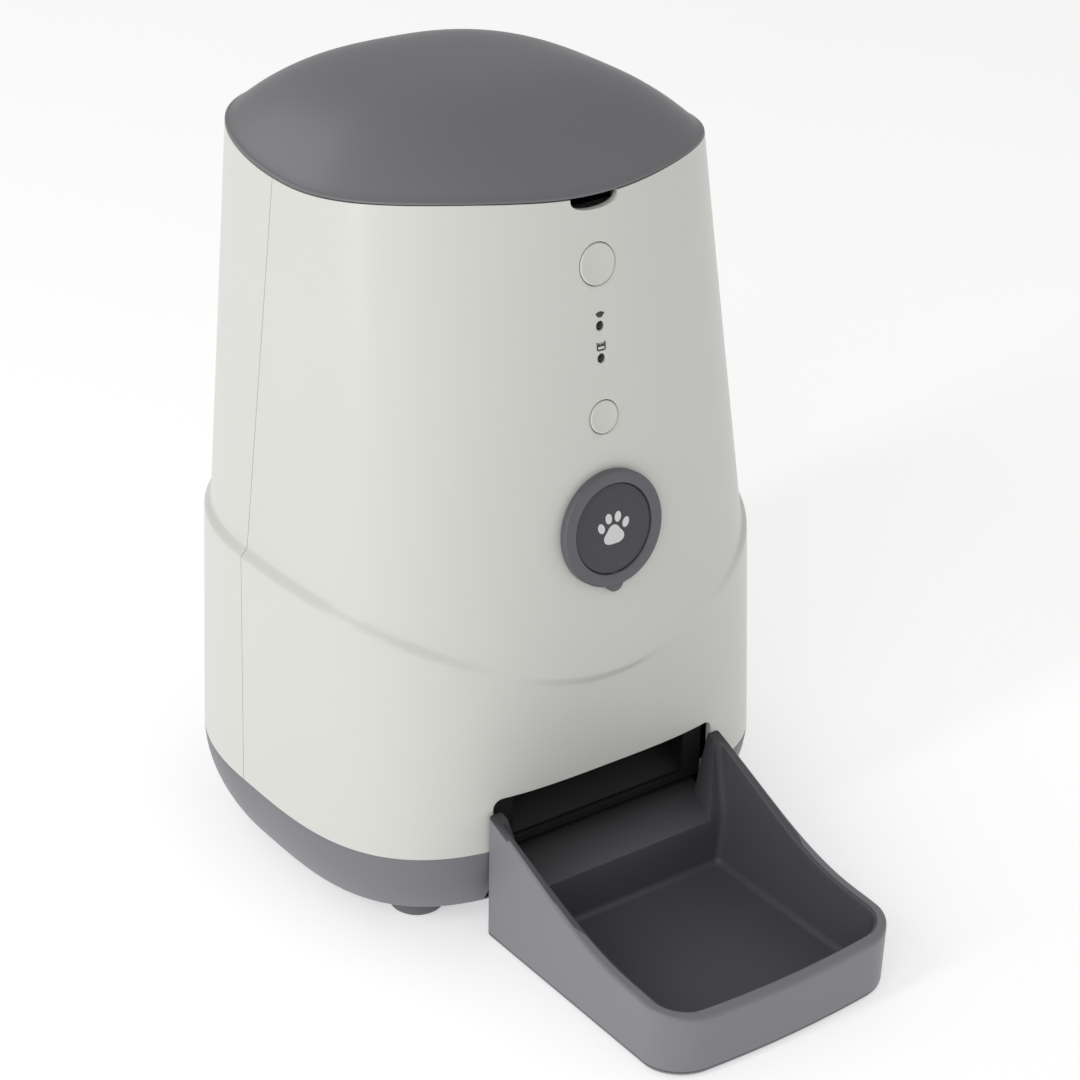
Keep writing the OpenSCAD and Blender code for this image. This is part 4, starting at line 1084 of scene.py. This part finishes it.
def heart_pad(width, n=64):
    """The big pad of a paw: a rounded triangle."""
    points = []
    for k in range(n):
        a = 2 * HALF_TURN * k / n
        r = 0.5 * width * (1 + 0.13 * math.cos(3 * a + HALF_TURN / 2) - 0.10 * math.sin(a))
        points.append((r * math.cos(a), r * math.sin(a) * 0.86 - 2.2))
    return points


def arc_band(x, z, r0, r1, a0, a1, n=16):
    angles = [math.radians(mix(a0, a1, k / n)) for k in range(n + 1)]
    return ([(x + r1 * math.cos(a), z + r1 * math.sin(a)) for a in angles]
            + [(x + r0 * math.cos(a), z + r0 * math.sin(a)) for a in reversed(angles)])


FINISHES["print_light"] = satin_plastic("light_print", linear(214, 214, 216), rough=0.5, grain=0.02)
FINISHES["print_dark"] = satin_plastic("dark_print", linear(52, 52, 54), rough=0.5, grain=0.02)
paw_y = disc_face - 0.12
paw = [flat_mark("pad", heart_pad(8.6), paw_y)]
for x, z, turn in ((-5.6, 1.3, 0.42), (-2.1, 4.3, 0.12), (2.1, 4.3, -0.12), (5.6, 1.3, -0.42)):
    paw.append(flat_mark("toe", oval(x, z, 1.45, 2.05, turn), paw_y))
paw = on_front(joined("paw_print", paw), CAP_Z)
paw.data.materials.clear()
paw.data.materials.append(FINISHES["print_light"])
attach(paw, "front_cap")

ICON_Y = -0.02
fan = [flat_mark("fan_arc", arc_band(0, -1.9, r, r + 0.66, 48, 132), ICON_Y) for r in (0.9, 1.62, 2.34)]
fan = on_front(joined("network_sign", fan), 238.7)
bars = [(-2.0, -1.45, -1.3, 1.6), (1.45, 2.0, -1.3, 1.6), (-1.6, 1.6, -1.7, -1.1), (-1.45, 1.45, -0.1, 0.7)]
bars += [(x - 0.25, x + 0.25, 0.7, 1.3) for x in (-0.95, 0, 0.95)]
box_sign = [flat_mark("bar", [(x0, z0), (x1, z0), (x1, z1), (x0, z1)], ICON_Y) for x0, x1, z0, z1 in bars]
box_sign = on_front(joined("food_sign", box_sign), 227.0)
for sign in (fan, box_sign):
    sign.data.materials.clear()
    sign.data.materials.append(FINISHES["print_dark"])
    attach(sign, "housing")

# %% [markdown]
# ## Floor, camera and light
#
# A pale floor that glows a little, a large soft light from the front left, a tall narrow one from
# the left, weaker ones from the right and from behind, and a bright room give an even light.

# %% Floor
bpy.ops.object.select_all(action="DESELECT")
bpy.ops.mesh.primitive_plane_add(size=16, location=(0, 0, -0.0002))
floor = added("floor")
f = Finish("pale_floor", Roughness=0.9, Specular_IOR_Level=0.1, Emission_Color=(1, 1, 1, 1),
           Emission_Strength=0.46)
f.feed("Base Color", f.mix(f.noise(3, 2), (0.80, 0.80, 0.80, 1), (0.82, 0.82, 0.82, 1)))
floor.data.materials.append(f.material)

# %% Camera
azimuth, elevation, distance, roll = math.radians(-37.28), math.radians(27.29), 1.035, math.radians(1.71)
target = Vector((-0.42, BODY_Y - 50.2, 135.5)) * MM
back = Vector((math.sin(azimuth) * math.cos(elevation), -math.cos(azimuth) * math.cos(elevation),
               math.sin(elevation)))
bpy.ops.object.camera_add()
camera = bpy.context.active_object
camera.name = "camera"
camera.rotation_mode = "QUATERNION"
camera.location = target + back * distance
level = (-back).to_track_quat("-Z", "Y")
camera.rotation_quaternion = level @ Matrix.Rotation(roll, 4, "Z").to_quaternion()
camera.data.sensor_width = 36
camera.data.lens = 90.73
camera.data.clip_start, camera.data.clip_end = 0.05, 60
bpy.context.scene.camera = camera


# %% Lights
def soft_light(name, place, aim, size, power, colour=(1, 1, 1)):
    bpy.ops.object.light_add(type="AREA", location=place)
    lamp = bpy.context.active_object
    lamp.name = name
    lamp.data.shape = "RECTANGLE"
    lamp.data.size, lamp.data.size_y = size
    lamp.data.energy = power
    lamp.data.color = colour
    lamp.rotation_mode = "QUATERNION"
    lamp.rotation_quaternion = (Vector(aim) - Vector(place)).to_track_quat("-Z", "Y")
    return lamp


soft_light("key_light", (-1.5, -1.0, 1.1), (0, 0, 0.16), (1.0, 1.5), 8)
soft_light("strip_light", (-1.6, -0.12, 0.8), (0, 0, 0.16), (0.16, 1.6), 8)
soft_light("fill_light", (1.6, -1.2, 0.9), (0, 0, 0.12), (1.2, 1.2), 3)
soft_light("back_light", (-0.6, 1.6, 1.4), (0, 0, 0.2), (1.2, 0.8), 3)
world = bpy.context.scene.world or bpy.data.worlds.new("room")
bpy.context.scene.world = world
world.use_nodes = True
world.node_tree.nodes["Background"].inputs["Color"].default_value = (1.0, 1.0, 1.0, 1)
world.node_tree.nodes["Background"].inputs["Strength"].default_value = 0.46
bpy.context.scene.view_settings.view_transform = "Standard"
